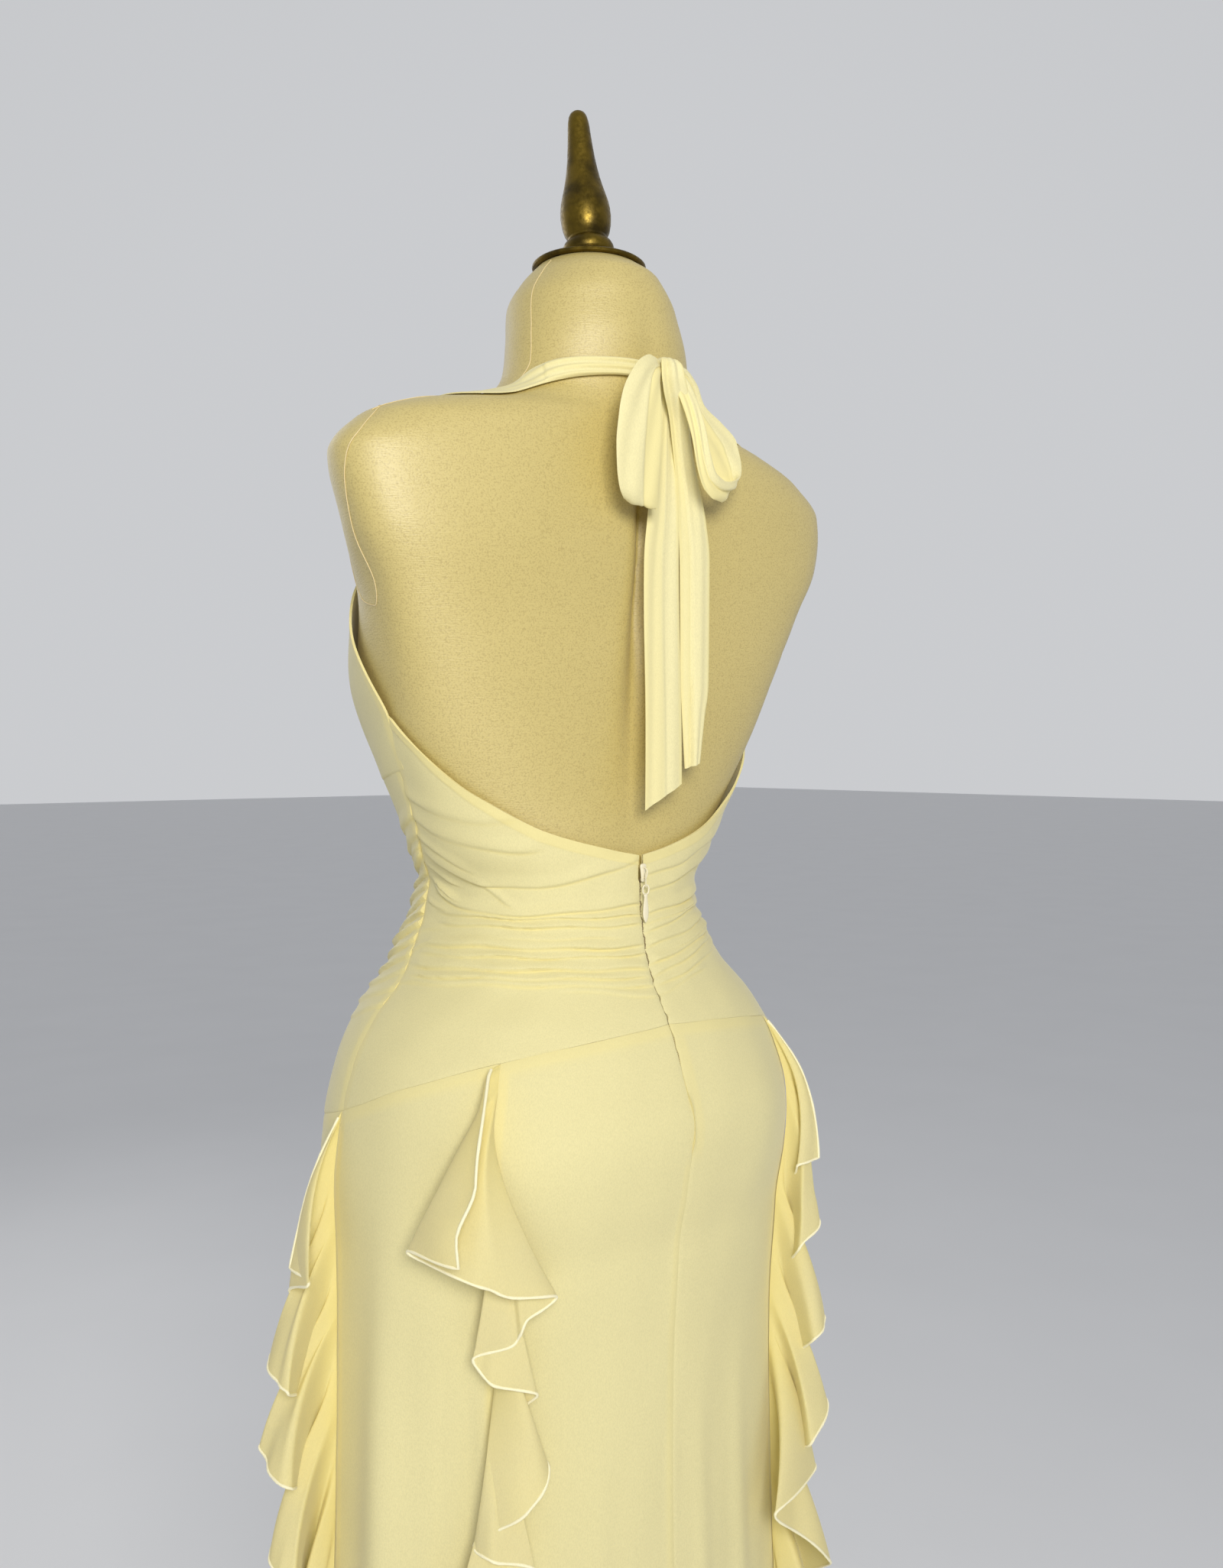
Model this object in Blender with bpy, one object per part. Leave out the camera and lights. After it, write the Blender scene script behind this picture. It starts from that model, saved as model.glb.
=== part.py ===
# Ruffled halter maxi dress on a limbless dress form with a stand.
# Units are metres and +Z is up. The origin is on the floor under the middle of the stand.
# The figure's front faces -Y and its left side is at +X.
# Angles run round the figure from centre back: 90 is the left side, 180 the centre front,
# and negative angles are the right side.

import bisect
import math

import bmesh
import bpy
from mathutils import Matrix, Vector

SEAM_GAP = 0.0003          # clear space between neighbouring pieces
CLOTH_WALL = 0.0012        # thickness of the dress panels
RUFFLE_WALL = 0.0010       # thickness of the cascades
RIBBON_WALL = 0.0012       # thickness of the bow's ribbons
FORM_CLEARANCE = 0.0025    # space between the form and the dress
FORM_INSET = 0.0012        # how much slimmer the torso is where the dress covers it
FORM_INSET_TOP = 1.170     # height where the torso reaches its full size
FORM_INSET_FADE = 0.050    # height over which it does
FORM_BOTTOM = 0.700        # flat underside of the torso
FORM_TOP = 1.487           # flat top of the neck
HEM_HEIGHT = 0.045         # lower edge of the skirt
ZIP_BOTTOM = 0.9440        # lower end of the opening for the zip
CHAIN_BOTTOM = 0.9450      # lower end of the zip's chain
ZIP_HALF_OPENING = 0.0012  # half the space between the back panels along the zip
PRINCESS_ANGLE = 52.0      # back princess seams
SIDE_ANGLE = 90.0          # side seams

# Level sections of the figure, from the hem to the top of the neck.
# height, half width, y of the widest line, back depth, front depth, back power, front power
SECTIONS = (
    (0.045, 0.228, 0.000, 0.186, 0.186, 2.1, 2.1),
    (0.200, 0.207, 0.000, 0.161, 0.162, 2.1, 2.1),
    (0.400, 0.183, -0.001, 0.135, 0.136, 2.2, 2.2),
    (0.560, 0.172, -0.003, 0.121, 0.123, 2.2, 2.2),
    (0.700, 0.169, -0.003, 0.118, 0.121, 2.2, 2.2),
    (0.760, 0.168, -0.004, 0.120, 0.121, 2.2, 2.2),
    (0.829, 0.170, -0.001, 0.122, 0.122, 2.2, 2.2),
    (0.869, 0.171, -0.002, 0.131, 0.124, 2.2, 2.2),
    (0.908, 0.167, -0.003, 0.137, 0.123, 2.2, 2.2),
    (0.944, 0.160, -0.002, 0.126, 0.116, 2.2, 2.2),
    (0.975, 0.142, -0.004, 0.114, 0.110, 2.2, 2.2),
    (1.000, 0.119, -0.006, 0.101, 0.103, 2.2, 2.2),
    (1.020, 0.107, -0.009, 0.097, 0.098, 2.2, 2.2),
    (1.040, 0.097, -0.009, 0.093, 0.093, 2.2, 2.2),
    (1.060, 0.095, -0.004, 0.087, 0.091, 2.2, 2.2),
    (1.085, 0.109, 0.004, 0.079, 0.091, 2.3, 2.2),
    (1.120, 0.128, 0.0145, 0.0655, 0.1035, 2.5, 2.2),
    (1.170, 0.151, 0.024, 0.058, 0.134, 2.8, 2.1),
    (1.205, 0.163, 0.032, 0.054, 0.148, 3.0, 2.0),
    (1.250, 0.177, 0.048, 0.042, 0.138, 3.1, 1.9),
    (1.290, 0.196, 0.053, 0.041, 0.124, 3.0, 1.8),
    (1.330, 0.205, 0.047, 0.047, 0.109, 2.8, 1.8),
    (1.355, 0.184, 0.041, 0.053, 0.096, 2.5, 1.9),
    (1.369, 0.153, 0.036, 0.058, 0.088, 2.2, 2.0),
    (1.3785, 0.108, 0.037, 0.057, 0.078, 2.0, 2.0),
    (1.390, 0.080, 0.040, 0.055, 0.067, 2.0, 2.0),
    (1.406, 0.0695, 0.041, 0.055, 0.061, 2.0, 2.0),
    (1.430, 0.0655, 0.039, 0.057, 0.058, 2.0, 2.0),
    (1.455, 0.060, 0.034, 0.057, 0.058, 2.0, 2.0),
    (1.475, 0.047, 0.032, 0.052, 0.052, 2.0, 2.0),
    (1.487, 0.036, 0.031, 0.037, 0.039, 2.0, 2.0),
)

# Soft rises and hollows of the figure, mirrored left and right.
# angle, height, outward size, half width in degrees, half height
FIGURE_RELIEF = (
    (0.0, 1.270, -0.0120, 11.0, 0.110),
    (36.0, 0.895, 0.0030, 15.0, 0.035),
    (150.0, 1.205, 0.0070, 17.0, 0.040),
    (180.0, 1.205, -0.0060, 10.0, 0.045),
)

# Soft folds of the skirt, which start below the hips and grow towards the hem.
# angle, width in degrees, outward size at the hem, height where it starts
SKIRT_FOLDS = (
    (17.0, 7.0, 0.011, 0.660),
    (35.0, 6.0, 0.008, 0.600),
    (70.0, 7.0, 0.012, 0.790),
    (109.0, 8.0, 0.012, 0.700),
    (131.0, 9.0, 0.014, 0.660),
    (158.0, 10.0, 0.012, 0.620),
    (180.0, 8.0, 0.009, 0.600),
    (-20.0, 7.0, 0.011, 0.640),
    (-36.0, 6.0, 0.009, 0.620),
    (-71.0, 7.0, 0.013, 0.750),
    (-111.0, 8.0, 0.013, 0.680),
    (-130.0, 9.0, 0.011, 0.700),
    (-160.0, 10.0, 0.014, 0.640),
)
FOLD_GROWTH = 0.55         # distance over which a skirt fold reaches its full size

# Rows of the skirt panels as shares of the way from the dropped waist seam to the hem.
# At centre back the second row is the zip's lower end and the third closes the seam below it.
SKIRT_ROWS = (0.0, 0.032, 0.041, 0.070, 0.105, 0.165, 0.24, 0.34, 0.46, 0.59, 0.73, 0.87, 1.0)

# Upper edge of the back, from the zip to the side seam: angle, height
BACK_NECKLINE = (
    (0.0, 1.0810),
    (18.0, 1.0865),
    (46.0, 1.0990),
    (70.0, 1.1245),
    (90.0, 1.1740),
)

# Dropped waist seam, from centre back to centre front: angle, height
BASQUE_SEAM = (
    (0.0, 0.9746),
    (26.0, 0.9705),
    (52.0, 0.9610),
    (72.0, 0.9460),
    (90.0, 0.9270),
    (120.0, 0.9010),
    (150.0, 0.8740),
    (180.0, 0.8500),
)

# Gathers of the back waist, from the top down.
# height at centre back, height at the side seam, rise midway, outward size
BACK_GATHERS = (
    (1.0620, 1.0930, 0.002, 0.0018),
    (1.0500, 1.0700, -0.004, 0.0022),
    (1.0400, 1.0520, -0.003, 0.0022),
    (1.0310, 1.0390, -0.001, 0.0024),
    (1.0220, 1.0270, 0.001, 0.0022),
    (1.0130, 1.0160, 0.001, 0.0024),
    (1.0050, 1.0060, 0.000, 0.0020),
    (0.9970, 0.9960, 0.001, 0.0022),
    (0.9890, 0.9840, 0.002, 0.0016),
)
RIGHT_GATHER_RISE = 0.011  # how much higher the right panel's gathers end at the side seam
GATHER_AT_ZIP = 0.35       # share of a gather's size left at the zip
GATHER_AT_SIDE = 0.65      # share of it left at the side seam
GATHER_ZIP_FADE = 12.0     # degrees over which it grows from the zip
GATHER_SIDE_FADE = 20.0    # degrees over which it shrinks to the side seam

# Gathers of the front waist: height at the side seams, height at centre front, outward size
FRONT_GATHERS = (
    (1.1020, 1.0700, 0.0016),
    (1.0850, 1.0540, 0.0020),
    (1.0700, 1.0400, 0.0022),
    (1.0560, 1.0270, 0.0024),
    (1.0430, 1.0140, 0.0022),
    (1.0300, 1.0010, 0.0024),
    (1.0170, 0.9880, 0.0022),
    (1.0040, 0.9750, 0.0020),
    (0.9910, 0.9620, 0.0018),
)

# Rows of a halter panel, from the underbust seam up to the neck band.
# outer edge angle, outer edge height, inner edge angle, inner edge height
HALTER_ROWS = (
    (90.0, 1.1400, 180.0, 1.1100),
    (90.0, 1.1570, 180.0, 1.1380),
    (90.0, 1.1740, 180.0, 1.1650),
    (97.0, 1.2050, 174.5, 1.1900),
    (105.0, 1.2270, 169.0, 1.2180),
    (112.0, 1.2455, 164.5, 1.2470),
    (123.0, 1.2740, 159.0, 1.2820),
    (131.0, 1.3040, 154.0, 1.3170),
    (134.5, 1.3370, 150.0, 1.3460),
    (135.0, 1.3640, 148.0, 1.3700),
)

# Rows of the neck band's left half, from the halter panel to centre back, in the same columns.
BAND_ROWS = (
    (134.9, 1.3644, 147.9, 1.3704),
    (124.0, 1.3700, 137.0, 1.3800),
    (110.0, 1.3735, 119.0, 1.3855),
    (91.0, 1.3770, 96.0, 1.3915),
    (72.0, 1.3815, 74.0, 1.3990),
    (50.0, 1.3920, 48.0, 1.4055),
    (24.0, 1.3955, 23.0, 1.4070),
    (0.0, 1.3965, 0.0, 1.4080),
)
BAND_FOLD = 0.0014         # outward size of the band's lengthwise folds
HALTER_LIFT = 0.0020       # further space between the form and the halter panels and band
HALTER_LIFT_GROWTH = 0.040 # height over which the halter panels gain it

# Waves of a cascade, from its top down. Each row is a turn of the free edge.
# distance of its root below the top of the seam, width of the ruffle there,
# angle off the vertical, swing to the outer (+) or inner (-) side of its seam in degrees
CASCADE_WAVES = (
    (0.000, 0.098, 27.0, 32.0),
    (0.014, 0.103, 26.0, 70.0),
    (0.036, 0.101, 23.0, -50.0),
    (0.056, 0.108, 16.0, 26.0),
    (0.076, 0.110, 17.0, -40.0),
    (0.095, 0.110, 16.0, 24.0),
    (0.117, 0.112, 17.0, -50.0),
    (0.164, 0.113, 16.0, 28.0),
    (0.182, 0.112, 17.0, -44.0),
    (0.222, 0.119, 20.0, 50.0),
    (0.256, 0.120, 20.0, -48.0),
    (0.300, 0.121, 20.0, 42.0),
    (0.336, 0.121, 20.0, -54.0),
    (0.384, 0.122, 21.0, 52.0),
    (0.420, 0.122, 21.0, -44.0),
    (0.466, 0.123, 21.0, 48.0),
    (0.506, 0.123, 21.0, -52.0),
    (0.552, 0.124, 21.0, 44.0),
    (0.592, 0.124, 22.0, -50.0),
    (0.640, 0.124, 22.0, 54.0),
    (0.684, 0.124, 22.0, -46.0),
    (0.728, 0.123, 22.0, 48.0),
    (0.758, 0.120, 22.0, -40.0),
)
CASCADE_STEPS = 4          # samples along each wave
CASCADE_ACROSS = 3         # samples across the ruffle
RUFFLE_FOLD_FLATNESS = 0.6  # least flatness counted where a ruffle folds over
CASCADE_ROOT_GAP = 0.0004  # space between a cascade's root and the skirt
CASCADE_LIFT = 0.0060      # how far a cascade's edge stays off the skirt at least

# name, seam angle, share of the waves' width, share of their swing,
# share of their reach in the first flare, share of their reach below it
CASCADES = (
    ("cascade_back_left", PRINCESS_ANGLE, 1.00, 1.00, 1.00, 1.00),
    ("cascade_back_right", -PRINCESS_ANGLE, 1.00, 0.96, 0.78, 1.00),
    ("cascade_side_left", SIDE_ANGLE, 0.98, 0.92, 0.69, 1.13),
    ("cascade_side_right", -SIDE_ANGLE, 0.98, 0.91, 0.72, 1.10),
)
FIRST_FLARE_END = (2.0, 10.0)  # waves over which the first flare's share gives way

NECK_AXIS_Y = 0.031        # middle of the neck's top
FINIAL_LEAN = 7.0          # forward lean of the finial in degrees
BASE_RADIUS = 0.160
POLE_RADIUS = 0.0125
POLE_TOP = FORM_BOTTOM - SEAM_GAP
BASE_HUB_HEIGHT = 0.034

# Turned profiles from the bottom centre outward and up: radius, height
BASE_PROFILE = (
    (BASE_RADIUS, 0.000),
    (BASE_RADIUS, 0.006),
    (0.156, 0.010),
    (0.100, 0.0145),
    (0.050, 0.019),
    (0.030, 0.027),
    (0.020, BASE_HUB_HEIGHT),
)
DISC_PROFILE = (
    (0.0390, 0.0000),
    (0.0400, 0.0015),
    (0.0385, 0.0035),
    (0.0290, 0.0055),
    (0.0190, 0.0066),
)
FINIAL_PROFILE = (
    (0.0150, 0.0000),
    (0.0178, 0.0030),
    (0.0180, 0.0070),
    (0.0158, 0.0115),
    (0.0137, 0.0140),
    (0.0158, 0.0175),
    (0.0174, 0.0235),
    (0.0178, 0.0315),
    (0.0172, 0.0380),
    (0.0157, 0.0450),
    (0.0125, 0.0580),
    (0.0101, 0.0710),
    (0.0085, 0.0840),
    (0.0076, 0.0970),
    (0.0068, 0.1040),
    (0.0045, 0.1085),
)

KNOT_CENTRE = (-0.0030, 0.1075, 1.4010)
KNOT_SIZE = (0.0200, 0.0133, 0.0220)
BACK_PLANE_Y = 0.0965      # level of the shoulder blades behind the ribbons

# Middle line of the left loop, from its front layer round to its back layer:
# side shift from the knot, distance out from the back plane, distance below the knot's middle,
# width of the ribbon
LOOP_LEFT_PATH = (
    (0.0143, 0.0150, -0.0020, 0.008),
    (0.0205, 0.0195, -0.0010, 0.014),
    (0.0244, 0.0225, 0.0060, 0.020),
    (0.0302, 0.0250, 0.0230, 0.032),
    (0.0335, 0.0250, 0.0480, 0.037),
    (0.0345, 0.0235, 0.0750, 0.036),
    (0.0325, 0.0205, 0.0910, 0.032),
    (0.0315, 0.0170, 0.0950, 0.030),
    (0.0315, 0.0140, 0.0910, 0.030),
    (0.0320, 0.0125, 0.0750, 0.032),
    (0.0315, 0.0115, 0.0480, 0.032),
    (0.0275, 0.0115, 0.0250, 0.026),
    (0.0205, 0.0115, 0.0070, 0.016),
    (0.0143, 0.0105, -0.0010, 0.008),
)

# Middle line of the right loop in the same columns
LOOP_RIGHT_PATH = (
    (-0.0134, 0.0125, 0.0000, 0.006),
    (-0.0188, 0.0138, 0.0035, 0.010),
    (-0.0245, 0.0133, 0.0100, 0.013),
    (-0.0310, 0.0125, 0.0213, 0.016),
    (-0.0407, 0.0122, 0.0330, 0.022),
    (-0.0520, 0.0122, 0.0455, 0.028),
    (-0.0566, 0.0145, 0.0594, 0.030),
    (-0.0515, 0.0200, 0.0726, 0.026),
    (-0.0373, 0.0255, 0.0764, 0.020),
    (-0.0255, 0.0280, 0.0722, 0.017),
    (-0.0180, 0.0290, 0.0595, 0.016),
    (-0.0144, 0.0285, 0.0443, 0.014),
    (-0.0115, 0.0265, 0.0303, 0.013),
    (-0.0080, 0.0235, 0.0170, 0.013),
    (-0.0045, 0.0205, 0.0070, 0.010),
    (-0.0020, 0.0192, 0.0010, 0.007),
)
RIGHT_LOOP_LEAN = (0.80, 0.00, -0.60)

# Tails: side shift of the left edge and of the right edge, distance out, height
TAIL_LEFT_ROWS = (
    (0.0080, -0.0030, 0.0095, 1.3892),
    (0.0095, -0.0060, 0.0060, 1.3600),
    (0.0120, -0.0110, 0.0040, 1.3200),
    (0.0125, -0.0165, 0.0035, 1.2700),
    (0.0122, -0.0185, 0.0035, 1.2200),
    (0.0120, -0.0200, 0.0035, 1.1700),
    (0.0120, -0.0205, 0.0035, 1.1290),
)
TAIL_LEFT_TIP = 0.017      # how far the left corner hangs below the right one
TAIL_RIGHT_ROWS = (
    (-0.0040, -0.0095, 0.0095, 1.3892),
    (-0.0090, -0.0230, 0.0060, 1.3600),
    (-0.0150, -0.0350, 0.0040, 1.3200),
    (-0.0195, -0.0425, 0.0035, 1.2700),
    (-0.0212, -0.0433, 0.0035, 1.2200),
    (-0.0230, -0.0410, 0.0035, 1.1750),
    (-0.0265, -0.0370, 0.0035, 1.1430),
)
TAIL_RIGHT_TIP = 0.004
TAIL_FOLD = 0.0012         # outward size of a tail's soft lengthwise fold

SLIDER_HEIGHT = 1.0700     # middle of the zip's slider
SLIDER_SIZE = (0.0052, 0.0016, 0.0120)
STEM_LENGTH = 0.0070       # upright length of the slider's stem between the panels
BRIDGE_RISE = 0.0034       # middle of the slider's bridge above its plate
BRIDGE_SINK = 0.0006       # depth of the bridge's ends in the plate
BRIDGE_SQUARENESS = 0.6
BRIDGE_HALF_LENGTH = 0.0034
BRIDGE_WIRE = 0.00045
LINK_WIRE = 0.00034
LINK_HALF_WIDTH = 0.0017
LINK_HALF_LENGTH = 0.0048
PIVOT_RISE = 0.0019        # the pull's pivot above the slider's plate
LINK_TURN = 50.0           # degrees that the link is turned about the vertical
DROP_THICKNESS = 0.0009
EYELET_HOLE = 0.00135

# Half outline of the zip's drop: half width, distance below the eyelet's middle
DROP_OUTLINE = (
    (0.0013, -0.0022),
    (0.0022, -0.0010),
    (0.0027, 0.0010),
    (0.0027, 0.0022),
    (0.0016, 0.0036),
    (0.0011, 0.0050),
    (0.0013, 0.0080),
    (0.0021, 0.0120),
    (0.0025, 0.0165),
    (0.0022, 0.0205),
    (0.0010, 0.0230),
)

# name of the finish: colour, roughness, metallic
FINISHES = {
    "dress_cloth": ((0.86, 0.79, 0.42, 1.0), 0.75, 0.0),
    "form_jersey": ((0.60, 0.49, 0.24, 1.0), 0.85, 0.0),
    "antique_gold": ((0.30, 0.20, 0.05, 1.0), 0.40, 1.0),
    "stand_metal": ((0.10, 0.09, 0.08, 1.0), 0.45, 1.0),
    "zip_plastic": ((0.84, 0.80, 0.62, 1.0), 0.40, 0.0),
}


def clear_scene():
    for thing in list(bpy.data.objects):
        bpy.data.objects.remove(thing, do_unlink=True)


def finish_material(finish):
    """The material of one finish, made once."""
    material = bpy.data.materials.get(finish)
    if material is None:
        colour, roughness, metallic = FINISHES[finish]
        material = bpy.data.materials.new(finish)
        material.use_nodes = True
        shader = material.node_tree.nodes["Principled BSDF"]
        shader.inputs["Base Color"].default_value = colour
        shader.inputs["Roughness"].default_value = roughness
        shader.inputs["Metallic"].default_value = metallic
    return material


def add_object(name, bm, finish, smooth=True):
    """One named object made from a bmesh, with its faces turned outward."""
    bmesh.ops.recalc_face_normals(bm, faces=bm.faces)
    mesh = bpy.data.meshes.new(name)
    bm.to_mesh(mesh)
    bm.free()
    if smooth:
        mesh.shade_smooth()
    mesh.materials.append(finish_material(finish))
    piece = bpy.data.objects.new(name, mesh)
    bpy.context.scene.collection.objects.link(piece)
    return piece


def slopes(places, values):
    """Slopes of a smooth curve through the values that never overshoots them."""
    rises = []
    for index in range(len(places) - 1):
        rises.append((values[index + 1] - values[index]) / (places[index + 1] - places[index]))
    result = [rises[0]]
    for before, after in zip(rises, rises[1:]):
        if before * after > 0.0:
            result.append(2.0 * before * after / (before + after))
        else:
            result.append(0.0)
    result.append(rises[-1])
    return result


class SmoothTable:
    """Smooth curves through the columns of a table, read by its first column."""

    def __init__(self, rows):
        ordered = sorted(rows)
        self.places = [row[0] for row in ordered]
        self.columns = []
        for column in range(1, len(ordered[0])):
            values = [row[column] for row in ordered]
            self.columns.append((values, slopes(self.places, values)))

    def at(self, place):
        place = min(max(place, self.places[0]), self.places[-1])
        index = min(bisect.bisect_right(self.places, place), len(self.places) - 1) - 1
        span = self.places[index + 1] - self.places[index]
        share = (place - self.places[index]) / span
        start = (1.0 + 2.0 * share) * (1.0 - share) ** 2
        end = share * share * (3.0 - 2.0 * share)
        start_slope = share * (1.0 - share) ** 2 * span
        end_slope = share * share * (share - 1.0) * span
        result = []
        for values, slope in self.columns:
            value = start * values[index] + end * values[index + 1]
            value += start_slope * slope[index] + end_slope * slope[index + 1]
            result.append(value)
        return result


SECTION_CURVES = SmoothTable(SECTIONS)
NECKLINE_CURVE = SmoothTable(BACK_NECKLINE)
BASQUE_CURVE = SmoothTable(BASQUE_SEAM)


def ease(share):
    """Smooth step from 0 to 1."""
    share = min(max(share, 0.0), 1.0)
    return share * share * (3.0 - 2.0 * share)


def angle_between(first, second):
    """Difference of two angles round the figure, in degrees, never over 180."""
    return abs((first - second + 180.0) % 360.0 - 180.0)


def figure_relief(angle, height):
    """Outward size of the figure's soft rises and hollows at a place."""
    total = 0.0
    around = angle_between(angle, 0.0)
    for centre, level, size, width, tall in FIGURE_RELIEF:
        across = (around - centre) / width
        along = (height - level) / tall
        total += size * math.exp(-across * across - along * along)
    return total


def section_point(angle, height):
    """Point of the figure's level section at a height."""
    wide, widest_y, back, front, back_power, front_power = SECTION_CURVES.at(height)
    turn = math.radians(angle)
    side = math.sin(turn)
    rear = math.cos(turn)
    depth = back if rear > 0.0 else front
    power = back_power if rear > 0.0 else front_power
    reach = (abs(side / wide) ** power + abs(rear / depth) ** power) ** (-1.0 / power)
    reach += figure_relief(angle, height)
    return Vector((reach * side, widest_y + reach * rear, height))


def skin(angle, height, out=0.0):
    """Point at a distance outside the form's surface, along its normal."""
    place = section_point(angle, height)
    if out == 0.0:
        return place
    along = section_point(angle + 0.5, height) - section_point(angle - 0.5, height)
    upward = section_point(angle, height + 0.002) - section_point(angle, height - 0.002)
    normal = upward.cross(along)
    normal.normalize()
    return place + normal * out


def skirt_fold(angle, height):
    """Outward size of the skirt's soft folds at a place."""
    total = 0.0
    for centre, width, size, start in SKIRT_FOLDS:
        across = angle_between(angle, centre) / width
        total += size * ease((start - height) / FOLD_GROWTH) * math.exp(-across * across)
    return total


def seam_angle(angle, height, inward):
    """The angle moved half a seam gap to the given side."""
    reach = section_point(angle, height).to_2d().length
    return angle + inward * math.degrees(0.5 * SEAM_GAP / reach)


def centre_back_angle(height, side):
    """Angle of a back panel's edge at centre back, which stands off the zip."""
    half = ZIP_HALF_OPENING if height > ZIP_BOTTOM else 0.5 * SEAM_GAP
    reach = section_point(0.0, height).y - SECTION_CURVES.at(height)[1]
    return side * math.degrees(half / reach)


def closed_wall(name, outer, inner, finish="dress_cloth"):
    """A closed wall between an outer and an inner grid of points, both split along like diagonals."""
    bm = bmesh.new()
    rows = len(outer)
    columns = len(outer[0])
    faces_out = [[bm.verts.new(point) for point in row] for row in outer]
    faces_in = [[bm.verts.new(point) for point in row] for row in inner]
    grid_faces(bm, faces_out)
    grid_faces(bm, faces_in)
    rim = [(0, j) for j in range(columns - 1)]
    rim += [(i, columns - 1) for i in range(rows - 1)]
    rim += [(rows - 1, j) for j in range(columns - 1, 0, -1)]
    rim += [(i, 0) for i in range(rows - 1, 0, -1)]
    for (i, j), (k, m) in zip(rim, rim[1:] + rim[:1]):
        bm.faces.new((faces_out[i][j], faces_in[i][j], faces_in[k][m], faces_out[k][m]))
    return add_object(name, bm, finish)


def skirt_panel(name, lines):
    """A skirt panel, whose whole wall follows the soft folds."""
    outer = []
    inner = []
    for line in lines:
        folds = [FORM_CLEARANCE + skirt_fold(angle, height) for angle, height in line]
        outer.append([skin(a, h, fold + CLOTH_WALL) for (a, h), fold in zip(line, folds)])
        inner.append([skin(a, h, fold) for (a, h), fold in zip(line, folds)])
    return closed_wall(name, outer, inner)


def gather_lines(gathers):
    """Levels of a waist panel's rows as (first height, last height, rise midway, raise)."""
    levels = []
    for upper, lower in zip(gathers, gathers[1:]):
        levels.append(upper)
        valley = [0.5 * (a + b) for a, b in zip(upper[:-1], lower[:-1])]
        levels.append((*valley, 0.0))
    levels.append(gathers[-1])
    return levels


def waist_back(side):
    """The ruched back waist panel of one side, smooth below the gathers."""
    name = "waist_back_left" if side > 0 else "waist_back_right"
    rise = RIGHT_GATHER_RISE if side < 0 else 0.0
    columns = 9
    levels = gather_lines(BACK_GATHERS)
    lines = []
    raises = []
    for row in range(5):
        share = row / 5.0
        line = []
        for column in range(columns + 1):
            around = SIDE_ANGLE * column / columns
            top = NECKLINE_CURVE.at(around)[0]
            back, far, middle, size = levels[0]
            across = column / columns
            first = back + (far + rise - back) * across + 4.0 * middle * across * (1.0 - across)
            line.append((around, top + (first - top) * share))
        lines.append(line)
        raises.append(0.0)
    for back, far, middle, size in levels:
        line = []
        for column in range(columns + 1):
            across = column / columns
            height = back + (far + rise - back) * across + 4.0 * middle * across * (1.0 - across)
            line.append((SIDE_ANGLE * across, height))
        lines.append(line)
        raises.append(size)
    last = lines[-1]
    for share in (0.4, 0.7, 1.0):
        line = []
        for around, height in last:
            seam = BASQUE_CURVE.at(around)[0] + 0.5 * SEAM_GAP
            line.append((around, height + (seam - height) * share))
        lines.append(line)
        raises.append(0.0)
    outer = []
    inner = []
    for line, size in zip(lines, raises):
        outer_row = []
        inner_row = []
        for around, height in line:
            angle = panel_edge(around, height, side)
            out = FORM_CLEARANCE + CLOTH_WALL + size * gather_share(around)
            outer_row.append(skin(angle, height, out))
            inner_row.append(skin(angle, height, FORM_CLEARANCE))
        outer.append(outer_row)
        inner.append(inner_row)
    return closed_wall(name, outer, inner)


def gather_share(around):
    """Share of a back gather's size, which flattens towards the zip and the side seam."""
    from_zip = ease(around / GATHER_ZIP_FADE)
    from_side = ease((SIDE_ANGLE - around) / GATHER_SIDE_FADE)
    opened = GATHER_AT_SIDE + (1.0 - GATHER_AT_SIDE) * from_side
    return GATHER_AT_ZIP + (1.0 - GATHER_AT_ZIP) * from_zip * opened


def panel_edge(around, height, side):
    """Signed angle of a panel's point, kept clear of centre back and of the side seam."""
    if around <= 0.0:
        return centre_back_angle(height, side)
    if around >= SIDE_ANGLE:
        return side * seam_angle(SIDE_ANGLE, height, -1.0)
    return side * around


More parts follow.
